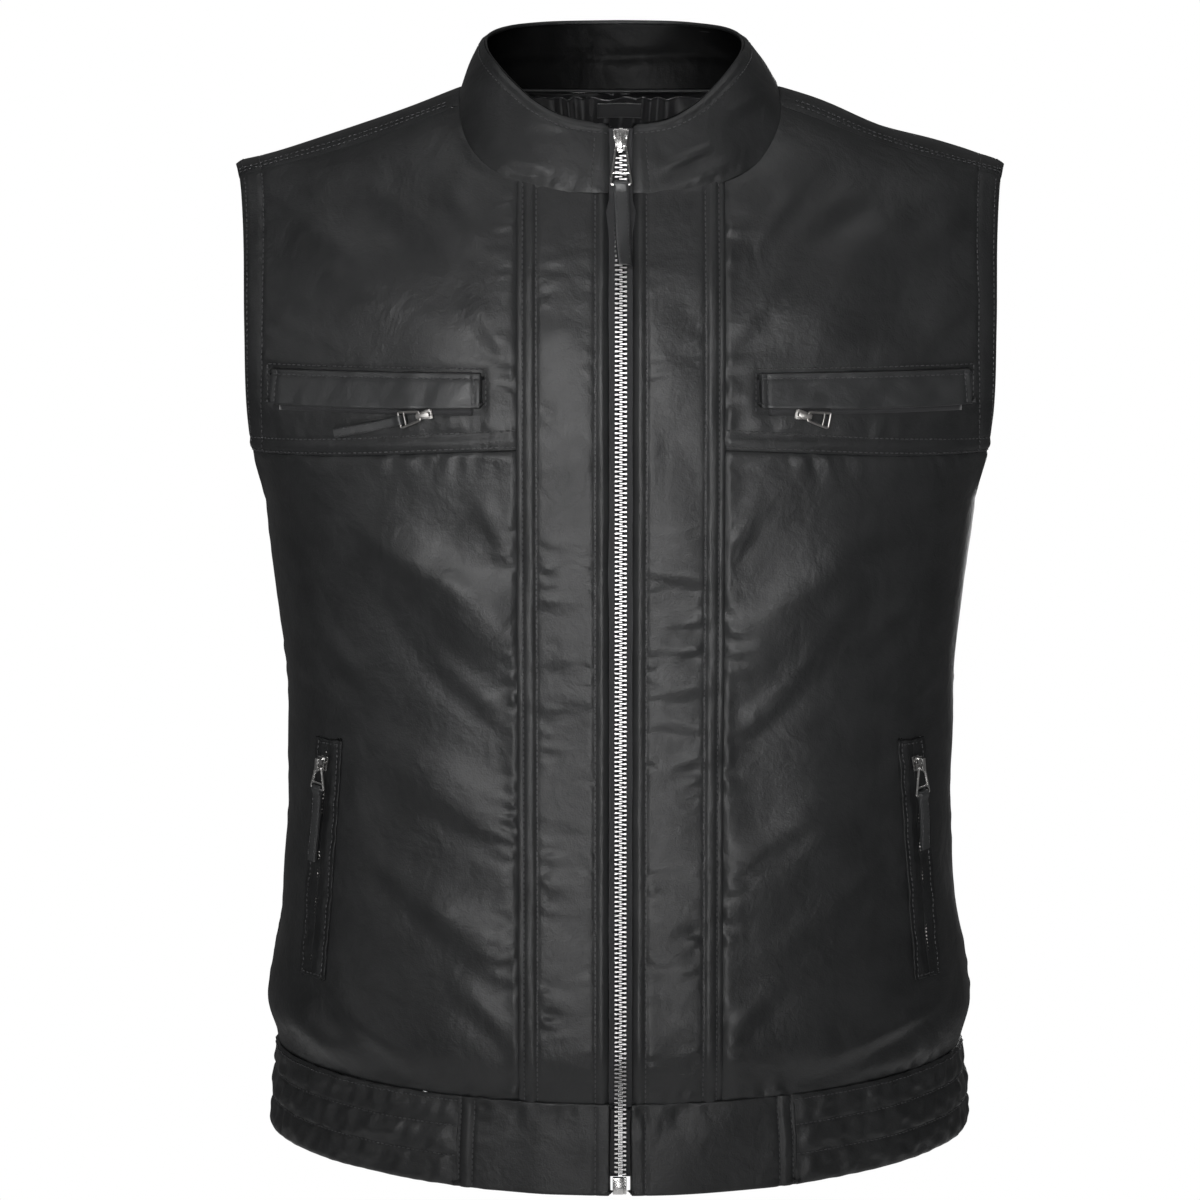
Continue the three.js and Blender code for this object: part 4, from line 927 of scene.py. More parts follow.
collar_creases = [(24, -50, 54, -37, 2.8, 2.0), (34, -59, 66, -46, 3.2, 1.5), (-70, -44, -40, -50, 4, 1.0),
                  (-30, -26, -56, -22, 3.5, 0.6), (62, -20, 84, -6, 4, 0.8)]
collar_parts = []
facing_parts = []
for side, word in ((1, "left"), (-1, "right")):
    rounds = np.linspace(0, 1, COLLAR_COLUMNS)[None, :]
    heights = np.concatenate([[0, 0.03, 0.06], np.linspace(0.1, 0.8, 16),
                              [0.835, 0.86, 0.885, 0.91, 0.94, 0.97, 1.0]])
    high = np.broadcast_to(heights[:, None], (len(heights), COLLAR_COLUMNS))
    smooth = collar_form(side, np.broadcast_to(rounds, high.shape), high)
    out = normals_of(smooth, (side, 0, 0))
    out[:, -1, 0] = 0
    out /= np.linalg.norm(out, axis=-1, keepdims=True)
    from_zip = along_the_columns(smooth)
    foot = up_the_rows(smooth)
    below_top = foot[-1:] - foot
    lift = (
        1.2 * np.sin(np.pi * high) + row_groove(below_top, COLLAR_TOP_ROW, 0.5) + edge_roll(foot, 0.1, 1.2)
        + edge_roll(below_top, 1.3, 1.3) + edge_roll(from_zip, 1.2, 1.5)
        + row_groove(from_zip, ZIP_ROW, 0.6, 1.0)
        + seam_pucker(smooth, foot, 61, 0.5, 8, 12, True) + 0.45 * ripple(smooth, 45, 63)
        + seam_pucker(smooth, below_top, 65, 0.25, 8, 9, True)
        + crease_lift(smooth, collar_creases) * (smooth[..., 1] < 0)
    )
    points = smooth + out * lift[..., None]
    collar_parts.append((word, points, out))
    sew_rows(points, out, below_top[:, COLLAR_COLUMNS // 2], [COLLAR_TOP_ROW])
    row = int(np.argmin(np.abs(below_top[:, COLLAR_COLUMNS // 2] - COLLAR_TOP_ROW)))
    sew_columns(points[:row], out[:row], from_zip[10], [ZIP_ROW])
    inner = smooth - out * 1.75
    hollow = (
        0.9 * np.sin(np.pi * high) + 0.3 * ripple(inner, 40, 67) + 0.9 * np.exp(-((below_top / 1.2) ** 2))
    )
    fold = np.exp(-(((high - 0.45 - 0.07 * np.sin(rounds * 9)) / 0.08) ** 2)) + 0.5 * ripple(inner, 32, 69)
    inner_lift = 0.3 * hollow + 0.8 * fold * np.sin(np.pi * high)
    facing_parts.append((word, inner - out * inner_lift[..., None], -out))
collar = weld_halves("collar_outside", collar_parts, [collar_grain, collar_grain], COLLAR_LEATHER,
                     ["collar"], {"left": "fold", "foot": "neck", "top": "fold"})
# Painted shade: the facing is the same black leather, but its colour is made five times darker, and its
# polish weaker, to stand in for the shade inside the collar.
painted_shade_facing_leather = leather_look("painted_shade_facing_leather", dark=0.2, grain=0.7, roughness=0.42, gloss=0.05)
facing = weld_halves("collar_inside", facing_parts, [painted_shade_facing_leather, painted_shade_facing_leather], FACING_LEATHER,
                     ["collar_facing"], {"left": "lip", "top": "lip"})

# ---- Thread ----
# Black bonded polyester, about eight stitches to the inch. It shows on every seam and edge that is turned and
# stitched down, a little proud of the leather.
thread, thread_nodes, thread_links, thread_shader = plain_look("black_thread")
twist = pattern(thread_nodes, thread_links, "ShaderNodeTexWave", Scale=900)
strands = relief(thread_nodes, thread_links, twist.outputs["Fac"], 0.4, 0.0002)
thread_links.new(strands.outputs["Normal"], thread_shader.inputs["Normal"])
thread_shader.inputs["Base Color"].default_value = (0.035, 0.035, 0.037, 1)
thread_shader.inputs["Roughness"].default_value = 0.5


def thread_piece(name, body="garment", rows=sewn):
    """All the rows of stitches sewn so far as one piece."""
    stitches = np.concatenate(rows)
    count = len(stitches)
    rows.clear()
    mesh = bpy.data.meshes.new(name)
    faces = one_stitch_faces[None] + (np.arange(count) * len(one_stitch))[:, None, None]
    mesh.from_pydata((stitches.reshape(-1, 3) * MM).tolist(), [], faces.reshape(-1, 3).tolist())
    mesh.materials.append(thread)
    return finished_piece(name, mesh, body, ())


thread_piece("seam_stitches")

# ---- Waistband ----
# A band of doubled leather folded at the hem. Its front tabs are plain and end in a strip stitched twice. At
# the sides it is gathered over three runs of elastic, and across the back it is plain again.
BAND_TOP_Z = BAND_SEAM_Z - 0.3
TAB_END = {1: 104.0, -1: 97.0}
ELASTIC_BACK_X, GATHERS = 95.0, 22
BAND_LEATHER, BAND_ROWS, TAB_END_ROWS = 2.0, 46, (1.8, 9.8)
ELASTIC_ROWS = (15, 30, 43)  # the grid's rows that are stitched, below each run of elastic
band_middle_up = (BAND_TOP_Z + HEM_Z) / 2 - ARMHOLE_FOOT_Z
band_share = np.linspace(1, 0, BAND_ROWS)[:, None]
band_heights = BAND_TOP_Z + (HEM_Z - BAND_TOP_Z) * band_share[:, 0]
band_drop = band_share * (BAND_TOP_Z - HEM_Z)
band_turned = {"foot": "fold", "top": "seam", "left": "seam", "right": "seam"}


def band_strip(runs):
    """The plain form of a run of the band, from runs of angles on one face after another."""
    strips = [form_points(face, side, angles[None, :], (band_heights - ARMHOLE_FOOT_Z)[:, None])
              for face, side, angles in runs]
    return np.concatenate(strips, 1)


for side, word in ((1, "left"), (-1, "right")):
    end = TAB_END[side]
    tab_angles = angle_across("front", np.concatenate([
        ZIP_EDGE_X + np.array([0, 1.2, 2.4, 3.6, 5, 6.4, 7.6, 8.8, 11]),
        np.linspace(ZIP_EDGE_X + 13.5, end - 15, 26),
        end - np.array([13, 11.6, 10.6, 9.8, 9, 7.4, 5.6, 3.8, 2.6, 1.8, 1.0, 0.15]),
    ]), band_middle_up)
    smooth = band_strip([("front", side, tab_angles)])
    out = normals_of(smooth, (0, -1, 0))
    from_zip = along_the_columns(smooth)
    from_end = from_zip[:, -1:] - from_zip
    lift = (
        0.6 + row_groove(from_end, TAB_END_ROWS[0], 0.5) + row_groove(from_end, TAB_END_ROWS[1], 0.8, 1.1)
        + row_groove(from_zip, ZIP_ROW, 0.6, 1.0)
        + 0.7 * np.exp(-(((from_end - 5.6) / 3.0) ** 4))
        + seam_pucker(smooth, (from_end - 10).clip(0), 71 + side, 0.6, 8, 9)
        + seam_pucker(smooth, band_drop, 73 + side, 0.9, 12, 14, True)
        + 0.5 * ripple(smooth, 45, 75 + side)
    )
    points, out = raised(smooth, out, lift, (0, -1, 0))
    tab = cloth_piece(f"waistband_tab_{word}", points, out, [black_leather, black_leather], BAND_LEATHER,
                      replaces=[f"hem_tab_{word}"], turned=band_turned)
    sew_columns(points, out, from_zip[20], [ZIP_ROW])
    sew_columns(points, out, from_end[20], TAB_END_ROWS)

    side_angle = math.pi / 2
    front_end = angle_across("front", end + SEAM_GAP, band_middle_up)
    back_end = angle_across("back", ELASTIC_BACK_X + SEAM_GAP, band_middle_up)
    front_angles = np.linspace(front_end, side_angle, 136)
    back_angles = np.linspace(side_angle, back_end, 136)[1:]
    smooth = band_strip([("front", side, front_angles), ("back", side, back_angles)])
    out = normals_of(smooth, (side, 0, 0))
    from_tab = along_the_columns(smooth)
    total = from_tab[:, -1:]
    channel = band_share * 3
    pillow = np.abs(np.sin(np.pi * channel)) ** 0.55
    which = np.floor(np.minimum(channel, 2.999))
    turn = (from_tab / total * GATHERS + 0.16 * np.sin(from_tab * 0.11 + which * 2.1)
            + 0.1 * np.sin(which * 4 + 1))
    uneven = 0.72 + 0.28 * np.sin(np.floor(turn) * 2.4 + which * 0.9)
    ridge = (0.5 - 0.5 * np.cos(2 * np.pi * turn)) ** 0.8
    lift = (
        0.5 + 1.0 * pillow + 1.15 * uneven * ridge * (0.35 + 0.65 * pillow)
        + 0.5 * ripple(smooth, 9, 77 + side) * pillow + 0.5 * ripple(smooth, 40, 78)
    )
    ends = np.minimum(from_tab, total - from_tab)
    lift = 0.7 + (lift - 0.7) * (1 - np.exp(-((ends / 5) ** 2)))
    points, out = raised(smooth, out, lift, (side, 0, 0))
    elastic = cloth_piece(f"waistband_elastic_{word}", points, out, [black_leather, black_leather],
                          BAND_LEATHER, replaces=[f"hem_elastic_{word}"], turned=band_turned)
    for row in ELASTIC_ROWS:
        sew(points[row], out[row], pitch=2.9, length=2.3)

end = angle_across("back", ELASTIC_BACK_X - SEAM_GAP, band_middle_up)
half = np.linspace(0, end, 40)
smooth = band_strip([("back", -1, half[:0:-1]), ("back", 1, half)])
out = normals_of(smooth, (0, 1, 0))
from_right = along_the_columns(smooth)
ends = np.minimum(from_right, from_right[:, -1:] - from_right)
lift = (0.6 + row_groove(ends, 2.4, 0.5) + seam_pucker(smooth, (ends - 3).clip(0), 81, 0.7, 9, 10)
        + seam_pucker(smooth, band_drop, 82, 0.9, 12, 14, True) + 0.5 * ripple(smooth, 45, 83))
points, out = raised(smooth, out, lift, (0, 1, 0))
band_back = cloth_piece("waistband_back", points, out, [black_leather, black_leather], BAND_LEATHER,
                        replaces=["hem_back"], turned=band_turned)
thread_piece("waistband_stitches")

# ---- Neck lining and label ----
# The satin lining of the back is gathered into the neck seam under the facing. A blank ribbon is caught in
# the same seam.
LINING_HALF_WIDTH, LINING_FOOT_CLIMB, LINING_PLEATS = 80.0, 36.0, 12
# Painted highlight: the lining is the same black satin as inside the panels, but its colour is made more than
# twice as light to stand in for the sheen on its folds.
painted_highlight_lining_satin = satin_look("painted_highlight_lining_satin", (0.016, 0.016, 0.017, 1), 0.22)


def spots_on_form(face, x, height, climb_at):
    """Points of the smooth form by distance across and height, the directions out of it, and the signs that
    put them on their own side. climb_at turns a distance across and a height into the form's own climb."""
    def at(dx, dh):
        near = np.abs(x) + dx
        up = climb_at(near, height + dh)
        return form_points(face, 1, angle_across(face, near, up), up)

    n = np.cross(at(0.5, 0) - at(0, 0), at(0, 0.5) - at(0, -0.5))
    n /= np.linalg.norm(n, axis=-1, keepdims=True)
    n *= np.sign(n[..., 1:2]) * (-1 if face == "front" else 1)
    hand = np.where(x < 0, -1, 1)
    return at(0, 0), n, np.stack([hand, np.ones_like(hand), np.ones_like(hand)], -1)


def inside_back(x, up, set_in):
    """Points inside the back, by distance across and degrees of climb, set in from its outer face."""
    x, up, set_in = np.broadcast_arrays(np.asarray(x, float), up, set_in)
    p, n, hand = spots_on_form("back", x, up, lambda near, climb: climb)
    return (p - n * set_in[..., None]) * hand, -n * hand


LINING_ROWS, LINING_COLUMNS, LINING_SET_IN = 34, 289, LEATHER + 1.7
u = np.linspace(-1, 1, LINING_COLUMNS)[None, :]
t = np.linspace(1, 0, LINING_ROWS)[:, None]
x = np.broadcast_to(u * LINING_HALF_WIDTH, (LINING_ROWS, LINING_COLUMNS))
seam_up = neckline(180 - bearing_across(np.abs(x)))[1] - 1.2
pleat = (u + 1) / 2 * LINING_PLEATS
turn = pleat + 0.3 * np.sin(pleat * 1.7) + t * 0.6 * np.sin(pleat * 0.9 + 2)
uneven = 0.7 + 0.3 * np.sin(np.floor(turn) * 2.7)
depth = 3.9 * (0.45 + 0.55 * np.sin(np.pi * np.minimum(1, t * 1.4 + 0.15))) * uneven
flat_cloth = np.stack([x, np.zeros_like(x), np.broadcast_to(t * 60, x.shape)], -1)
crumple = 0.7 * ripple(flat_cloth, 14, 91)
pleats = depth * (0.5 - 0.5 * np.cos(2 * np.pi * turn))
lining_points, lining_out = inside_back(x, seam_up + (LINING_FOOT_CLIMB - seam_up) * t,
                                        LINING_SET_IN + pleats + crumple * t)
lining = cloth_piece("neck_lining", lining_points, lining_out, [painted_highlight_lining_satin], 0.5, replaces=["lining_back"])

label_ribbon = satin_look("label_ribbon", (0.018, 0.018, 0.019, 1), 0.5)
LABEL_HALF_WIDTH, LABEL_SET_IN = 14, LEATHER + 6.2
x = np.linspace(-LABEL_HALF_WIDTH, LABEL_HALF_WIDTH, 30)[None, :]
t = np.linspace(1, 0, 12)[:, None]
label_points, label_out = inside_back(x, float(neckline(180.0)[1]) - 1.6 - t * 4.6, LABEL_SET_IN + 0.5 * t)
label = cloth_piece("neck_label_ribbon", label_points, label_out, [label_ribbon], 0.7,
                    replaces=["neck_label"])

# ---- Main zip ----
# A metal zip: two woven tapes sewn behind the folded edges of the fronts and the collar, each with a row of
# pressed teeth, and a box and pin at the foot.
ZIP_FOOT_Z, TAPE_INNER_X, TAPE_OUTER_X = -640.0, 1.2, 13.0
TOOTH_STEP = 1.38
MIDDLE_X = 0.0001  # the middle of the front, just on its left side


def front_line(z, x, lift):
    """Points on the fronts at a height and a distance across, with the folds, lifted off them."""
    z, x, lift = np.broadcast_arrays(np.asarray(z, float), np.asarray(x, float), lift)
    p, n, hand = spots_on_form("front", x, z, climb_of)
    p, n = p * hand, n * hand
    return p + n * (lift + fold_lift("front", p))[..., None], n


def collar_front(high, x, lift):
    """Points on the line of the zip up the collar's front."""
    high, x, lift = np.broadcast_arrays(np.asarray(high, float), np.asarray(x, float), lift)
    p = collar_form(1, np.zeros(high.shape), high)
    n = np.zeros(p.shape)
    n[..., 1] = -1
    p[..., 0] = x
    return p + n * lift[..., None], n


tape_weave = satin_look("zip_tape_weave", (0.008, 0.008, 0.009, 1), 0.75)
for side, word in ((1, "left"), (-1, "right")):
    z_rows = np.linspace(ZIP_FOOT_Z, FRONT_NECK_Z - 4, 200)
    rising = ((z_rows - (FRONT_NECK_Z - 26)) / 22).clip(0, 1)[:, None]
    outer = TAPE_OUTER_X + (ZIP_EDGE_X - 0.3 - TAPE_OUTER_X) * rising
    across = np.linspace(0, 1, 9)[None, :]
    low_x = side * (TAPE_INNER_X + (outer - TAPE_INNER_X) * across)
    high_x = side * (TAPE_INNER_X + (ZIP_EDGE_X - 0.3 - TAPE_INNER_X) * across)
    low, low_out = front_line(z_rows[:, None], low_x, -2.3 + 1.9 * rising)
    high, high_out = collar_front(np.linspace(0.06, 0.93, 20)[:, None], high_x, 0.0)
    points, out = np.concatenate([low, high]), np.concatenate([low_out, high_out])
    tape = cloth_piece(f"zip_tape_woven_{word}", points, out, [tape_weave], 0.7,
                       replaces=[f"zip_tape_{word}"])


def metal_look(name, colour=(0.68, 0.67, 0.66, 1), roughness=0.22):
    """Nickel-plated brass: bright, with fine rubbing and a little tarnish in patches."""
    material, nodes, links, shader = plain_look(name)
    rub = pattern(nodes, links, "ShaderNodeTexNoise", Scale=420, Detail=4).outputs["Fac"]
    two_tones(nodes, links, rub, shader, tuple(c * 0.62 for c in colour[:3]) + (1,), colour)
    uneven_polish(nodes, links, rub, shader, roughness - 0.06, roughness + 0.12)
    shader.inputs["Metallic"].default_value = 1.0
    return material


nickel = metal_look("nickel")
teeth_nickel = metal_look("teeth_nickel", (0.5, 0.49, 0.49, 1), 0.34)
# Painted shade: the same nickel made darker, for the pocket zips' teeth and the chest pockets' sliders and
# pulls, which lie in shade under the welts and lips.
painted_shade_nickel = metal_look("painted_shade_nickel", (0.3, 0.29, 0.28, 1), 0.38)


def solid_piece(name, bm, material, body="garment", replaces=()):
    """A piece from a bmesh drawn in millimetres where it lies."""
    bmesh.ops.scale(bm, vec=(MM, MM, MM), verts=bm.verts)
    bmesh.ops.recalc_face_normals(bm, faces=bm.faces)
    mesh = bpy.data.meshes.new(name)
    bm.to_mesh(mesh)
    bm.free()
    mesh.materials.append(material)
    mesh.polygons.foreach_set("use_smooth", np.ones(len(mesh.polygons), bool))
    mesh.set_sharp_from_angle(angle=math.radians(38))
    return finished_piece(name, mesh, body, replaces)


def one_tooth(reach, half_step, depth):
    """One tooth, x across from its nose, y out, z along the zip: a nose, a neck and a foot round the tape."""
    bm = bmesh.new()
    outline = [(-reach * 0.28, -half_step * 0.18), (-reach * 0.1, -half_step * 0.36),
               (reach * 0.5, -half_step * 0.32), (reach * 0.62, -half_step * 0.48),
               (reach, -half_step * 0.44)]
    outline += [(x, -z) for x, z in reversed(outline)]
    face = bm.faces.new([bm.verts.new((x, 0, z)) for x, z in outline])
    grown = bmesh.ops.extrude_face_region(bm, geom=[face])
    nose = [v for v in grown["geom"] if isinstance(v, bmesh.types.BMVert)]
    bmesh.ops.translate(bm, vec=(0, depth, 0), verts=nose)
    caps = [f for f in bm.faces if all(abs(v.co.y - depth) < 1e-6 for v in f.verts)]
    bmesh.ops.inset_region(bm, faces=caps, thickness=half_step * 0.15, depth=half_step * 0.2)
    bmesh.ops.triangulate(bm, faces=bm.faces)
    verts = np.array([v.co for v in bm.verts], float)
    faces = np.array([[v.index for v in f.verts] for f in bm.faces])
    bm.free()
    return verts, faces


def teeth_piece(name, path, out, across, tooth, step, sink, metal, replaces):
    """A run of teeth along a path, taken from each side in turn."""
    verts, faces = tooth
    arc = arc_along(path)
    places = np.arange(step * 0.5, arc[-1], step)
    at, o, a = (between(values, arc, places) for values in (path, out, across))
    o /= np.linalg.norm(o, axis=-1, keepdims=True)
    along = np.cross(a, o)
    along /= np.linalg.norm(along, axis=-1, keepdims=True)
    hand = np.where(np.arange(len(places)) % 2 == 0, 1.0, -1.0)[:, None]
    placed = (
        (at - o * sink)[:, None, :] + verts[None, :, 0:1] * (a * hand)[:, None, :]
        + verts[None, :, 1:2] * o[:, None, :] + verts[None, :, 2:3] * (along * hand)[:, None, :]
    )
    count = len(places)
    mesh = bpy.data.meshes.new(name)
    all_faces = (faces[None] + (np.arange(count) * len(verts))[:, None, None]).reshape(-1, 3)
    mesh.from_pydata((placed.reshape(-1, 3) * MM).tolist(), [], all_faces.tolist())
    mesh.materials.append(metal)
    return finished_piece(name, mesh, "garment", replaces)


low, low_out = front_line(np.linspace(ZIP_FOOT_Z + 1, FRONT_NECK_Z - 4, 240), MIDDLE_X, 0.0)
high, high_out = collar_front(np.linspace(0.1, 0.56, 8), 0.0, 0.3)
chain_path, chain_out = np.concatenate([low, high]), np.concatenate([low_out, high_out])
chain_across = np.zeros(chain_path.shape)
chain_across[:, 0] = 1
teeth_piece("zip_teeth", chain_path, chain_out, chain_across, one_tooth(3.5, TOOTH_STEP, 1.7), TOOTH_STEP,
            1.6, teeth_nickel, ["zip_chain"])

# The box and the pin at the foot of the zip
bm = bmesh.new()
foot = front_line(ZIP_FOOT_Z, MIDDLE_X, 0.0)[0]
height = ZIP_FOOT_Z - 0.3 - HEM_Z
for x, y, z, w, d, h in ((-1.2, foot[1] + 0.6, HEM_Z + height * 0.5, 6.6, 3.4, height),
                         (2.9, foot[1] + 0.6, HEM_Z + height * 0.5, 1.5, 2.6, height)):
    made = bmesh.ops.create_cube(bm, size=1)["verts"]
    bmesh.ops.scale(bm, vec=(w, d, h), verts=made)
    bmesh.ops.translate(bm, vec=(x, y, z), verts=made)
bmesh.ops.bevel(bm, geom=bm.edges[:], offset=0.5, segments=2, profile=0.5, affect="EDGES", material=-1)
solid_piece("zip_box", bm, nickel, replaces=["zip_stop"])

# ---- Sliders, pulls and leather tabs ----
# Each slider is a cast shell of two plates with a bridge over it. A wire pull with a cross bar hangs in the
# bridge, and a doubled strip of leather is looped over the foot of the pull.
WIRE = 1.5
BRIDGE_WIDTH, BRIDGE_CLEAR, PLATE = 2.6, 0.8, 1.2
STRIP_HALF_THICK, STRIP_PUFF, STRIP_SWAY = 0.95, 0.16, 0.4
pull_leather = leather_look("pull_leather", dark=1.6, grain=0.8, roughness=0.4, gloss=0.55)


def seat(point, along, outward):
    """Stands a fitting on the cloth: its own z along the zip and its y into the cloth."""
    z = along / np.linalg.norm(along)
    y = -(outward - z * (outward @ z))
    y /= np.linalg.norm(y)
    x = np.cross(y, z)
    place = Matrix.Identity(4)
    for k in range(3):
        place[k][0], place[k][1], place[k][2], place[k][3] = x[k], y[k], z[k], point[k]
    return place


def slider_piece(name, node, place, metal, width, length, gap):
    """A slider: two plates that narrow downward, the wedge between them and the bridge."""
    bm = bmesh.new()
    front = -gap / 2 - PLATE
    leg_depth = BRIDGE_CLEAR + WIRE

    def lump(w, d, h, x, y, z, narrow=1.0):
        made = bmesh.ops.create_cube(bm, size=1)["verts"]
        bmesh.ops.scale(bm, vec=(w, d, h), verts=made)
        for v in made:
            if v.co.z < 0:
                v.co.x *= narrow
        bmesh.ops.translate(bm, vec=(x, y, z), verts=made)

    for y in (-(gap + PLATE) / 2, (gap + PLATE) / 2):
        lump(width * 0.86, PLATE, length, 0, y, 0, 0.8)
        for hand in (1, -1):
            lump(width * 0.3, PLATE, length * 0.42, hand * width * 0.35, y, length * 0.25, 0.55)
    lump(1.6, gap + 0.2, length * 0.4, 0, 0, length * 0.2)
    reach = leg_depth * 2 - WIRE + 1
    for z in (length / 2 - 1.2, -length / 2 + 1.2):
        lump(BRIDGE_WIDTH, reach, 1.3, 0, front - leg_depth + WIRE / 2 + 0.5, z)
    lump(BRIDGE_WIDTH, 1.0, length - 1.1, 0, front - leg_depth * 2 + WIRE - 0.5, 0)
    bmesh.ops.bevel(bm, geom=bm.edges[:], offset=0.3, segments=2, profile=0.5, affect="EDGES", material=-1)
    bmesh.ops.transform(bm, matrix=place, verts=bm.verts)
    solid_piece(name, bm, metal, replaces=[node])
    return front - BRIDGE_CLEAR - WIRE / 2


def bent_wire(bm, corners, radius, sides=8, bend=1.3):
    """A closed ring of round wire through flat corners, each turned on a small bend."""
    path = []
    count = len(corners)
    for i in range(count):
        before, here, after = Vector(corners[i - 1]), Vector(corners[i]), Vector(corners[(i + 1) % count])
        one, two = (before - here).normalized() * bend, (after - here).normalized() * bend
        for t in (0, 0.25, 0.5, 0.75, 1):
            path.append((here + one) * (1 - t) ** 2 + here * (2 * t * (1 - t)) + (here + two) * t ** 2)
    rings = []
    for i, p in enumerate(path):
        along = (path[(i + 1) % len(path)] - path[i - 1]).normalized()
        side = Vector((0, 1, 0)).cross(along).normalized()
        rings.append([bm.verts.new(p + side * math.cos(a) * radius + Vector((0, 1, 0)) * math.sin(a) * radius)
                      for a in (2 * math.pi * k / sides for k in range(sides))])
    for i, ring in enumerate(rings):
        following = rings[(i + 1) % len(rings)]
        for k in range(sides):
            bm.faces.new([ring[k], ring[(k + 1) % sides], following[(k + 1) % sides], following[k]])


def pull_piece(name, node, body, place, metal, frame_length, top_half, foot_half):
    """A wire pull that hangs from its bar, a little wider at its foot, with a cross bar."""
    bm = bmesh.new()
    r = WIRE / 2
    top, low = 0.0, WIRE - frame_length
    corners = [(-top_half + r, 0, top), (top_half - r, 0, top), (foot_half - r, 0, low),
               (-foot_half + r, 0, low)]
    bent_wire(bm, corners, r)
    share = 0.66
    half = top_half + (foot_half - top_half) * share - r
    made = bmesh.ops.create_cone(bm, cap_ends=True, segments=10, radius1=r * 0.9, radius2=r * 0.9,
                                 depth=half * 2)["verts"]
    bmesh.ops.rotate(bm, cent=(0, 0, 0), matrix=Matrix.Rotation(math.pi / 2, 3, "Y"), verts=made)
    bmesh.ops.translate(bm, vec=(0, 0, -frame_length * share), verts=made)
    bmesh.ops.transform(bm, matrix=place, verts=bm.verts)
    solid_piece(name, bm, metal, body=body, replaces=[node])


def leather_pull(name, node, body, place, frame_length, top_half, foot_half, length, bend, twist, lean):
    """A strip of leather doubled over the foot of a pull and sewn through, hanging down from it."""
    bar_z = WIRE - frame_length
    rim = WIRE * 0.72 + 0.3 + 0.9
    narrowing = (foot_half - top_half) / frame_length * (WIRE + rim * 2)
    half_width = foot_half - WIRE - 0.3 - narrowing
    levels = np.linspace(-rim - 1.5, -length, 22)
    loop = [(math.cos(a) * rim, math.sin(a) * rim) for a in np.radians(np.linspace(-30, 210, 13))]
    profile = (loop + [(-STRIP_HALF_THICK, z) for z in levels]
               + [(STRIP_HALF_THICK, z) for z in levels[::-1]])
    bm = bmesh.new()
    columns = np.array([-1, -0.9, -0.55, 0, 0.55, 0.9, 1.0])
    rings = []
    for u in columns:
        ring = []
        for y, z in profile:
            down = max(0.0, -z - rim) / (length - rim)
            puff = 1.0 + STRIP_PUFF * (1 - u * u) - (0.22 if abs(u) == 1 else 0)
            turn = math.radians(twist) * down
            x, y = u * half_width, y * puff
            x, y = x * math.cos(turn) - y * math.sin(turn), x * math.sin(turn) + y * math.cos(turn)
            sway = lean * down * down + STRIP_SWAY * math.sin(down * 5)
            ring.append(bm.verts.new((x + sway, y - bend * down * down, bar_z + z)))
        rings.append(ring)
    for a, b in zip(rings, rings[1:]):
        for k in range(len(profile)):
            following = (k + 1) % len(profile)
            bm.faces.new([a[k], a[following], b[following], b[k]])
    bm.faces.new(rings[0])
    bm.faces.new(rings[-1][::-1])
    bmesh.ops.transform(bm, matrix=place, verts=bm.verts)
    solid_piece(name, bm, pull_leather, body=body, replaces=[node])
    strip_rows = []
    z = levels[1:-1]
    down = np.maximum(0, -z - rim) / (length - rim)
    turn = np.radians(twist) * down
    sway = lean * down * down + STRIP_SWAY * np.sin(down * 5)
    out = np.stack([np.sin(turn), -np.cos(turn), np.zeros_like(turn)], -1)
    m = np.array(place)
    for u in (-0.72, 0.72):
        x, y = u * half_width, -STRIP_HALF_THICK * (1 + STRIP_PUFF * (1 - u * u))
        line = np.stack([x * np.cos(turn) - y * np.sin(turn) + sway,
                         x * np.sin(turn) + y * np.cos(turn) - bend * down * down, bar_z + z], -1)
        sew(line @ m[:3, :3].T + m[:3, 3], out @ m[:3, :3].T, pitch=2.6, length=2.0, radius=0.28,
            rows=strip_rows)
    thread_piece(name + "_stitches", body, strip_rows)


def fitting(name, node, body, place, slider, pull, metal=nickel):
    """A slider on its zip with its pull and strip."""
    bar_y = slider_piece(f"{name}_slider_shell", f"{node}_slider", place, metal, *slider)
    bar_z = -slider[1] / 2 + 1.2 + WIRE * 0.8
    hang = place @ Matrix.Translation((0, bar_y, bar_z)) @ Matrix.Rotation(math.radians(pull["tip"]), 4, "X")
    frame_sizes = pull["frame"], pull["top"], pull["foot"]
    pull_piece(f"{name}_wire_pull", f"{node}_pull", body, hang, metal, *frame_sizes)
    if "tab" in pull:
        leather_pull(f"{name}_wire_strip", f"{node}_tab", body, hang, *frame_sizes,
                     pull["tab"], pull["bend"], pull["twist"], pull.get("lean", 0.0))


low, high = collar_front(0.5, 0.0, 0.0)[0], collar_front(1.0, 0.0, 0.0)[0]
fitting("main", "zip", "main_pull", seat(low + (high - low) * 0.5, high - low, np.array([0.0, -1, 0])),
        (9.4, 13, 2.2), {"frame": 25, "top": 3.6, "foot": 6.8, "tab": 49, "tip": -7, "bend": 1.5, "twist": 30,
                         "lean": 2.6})

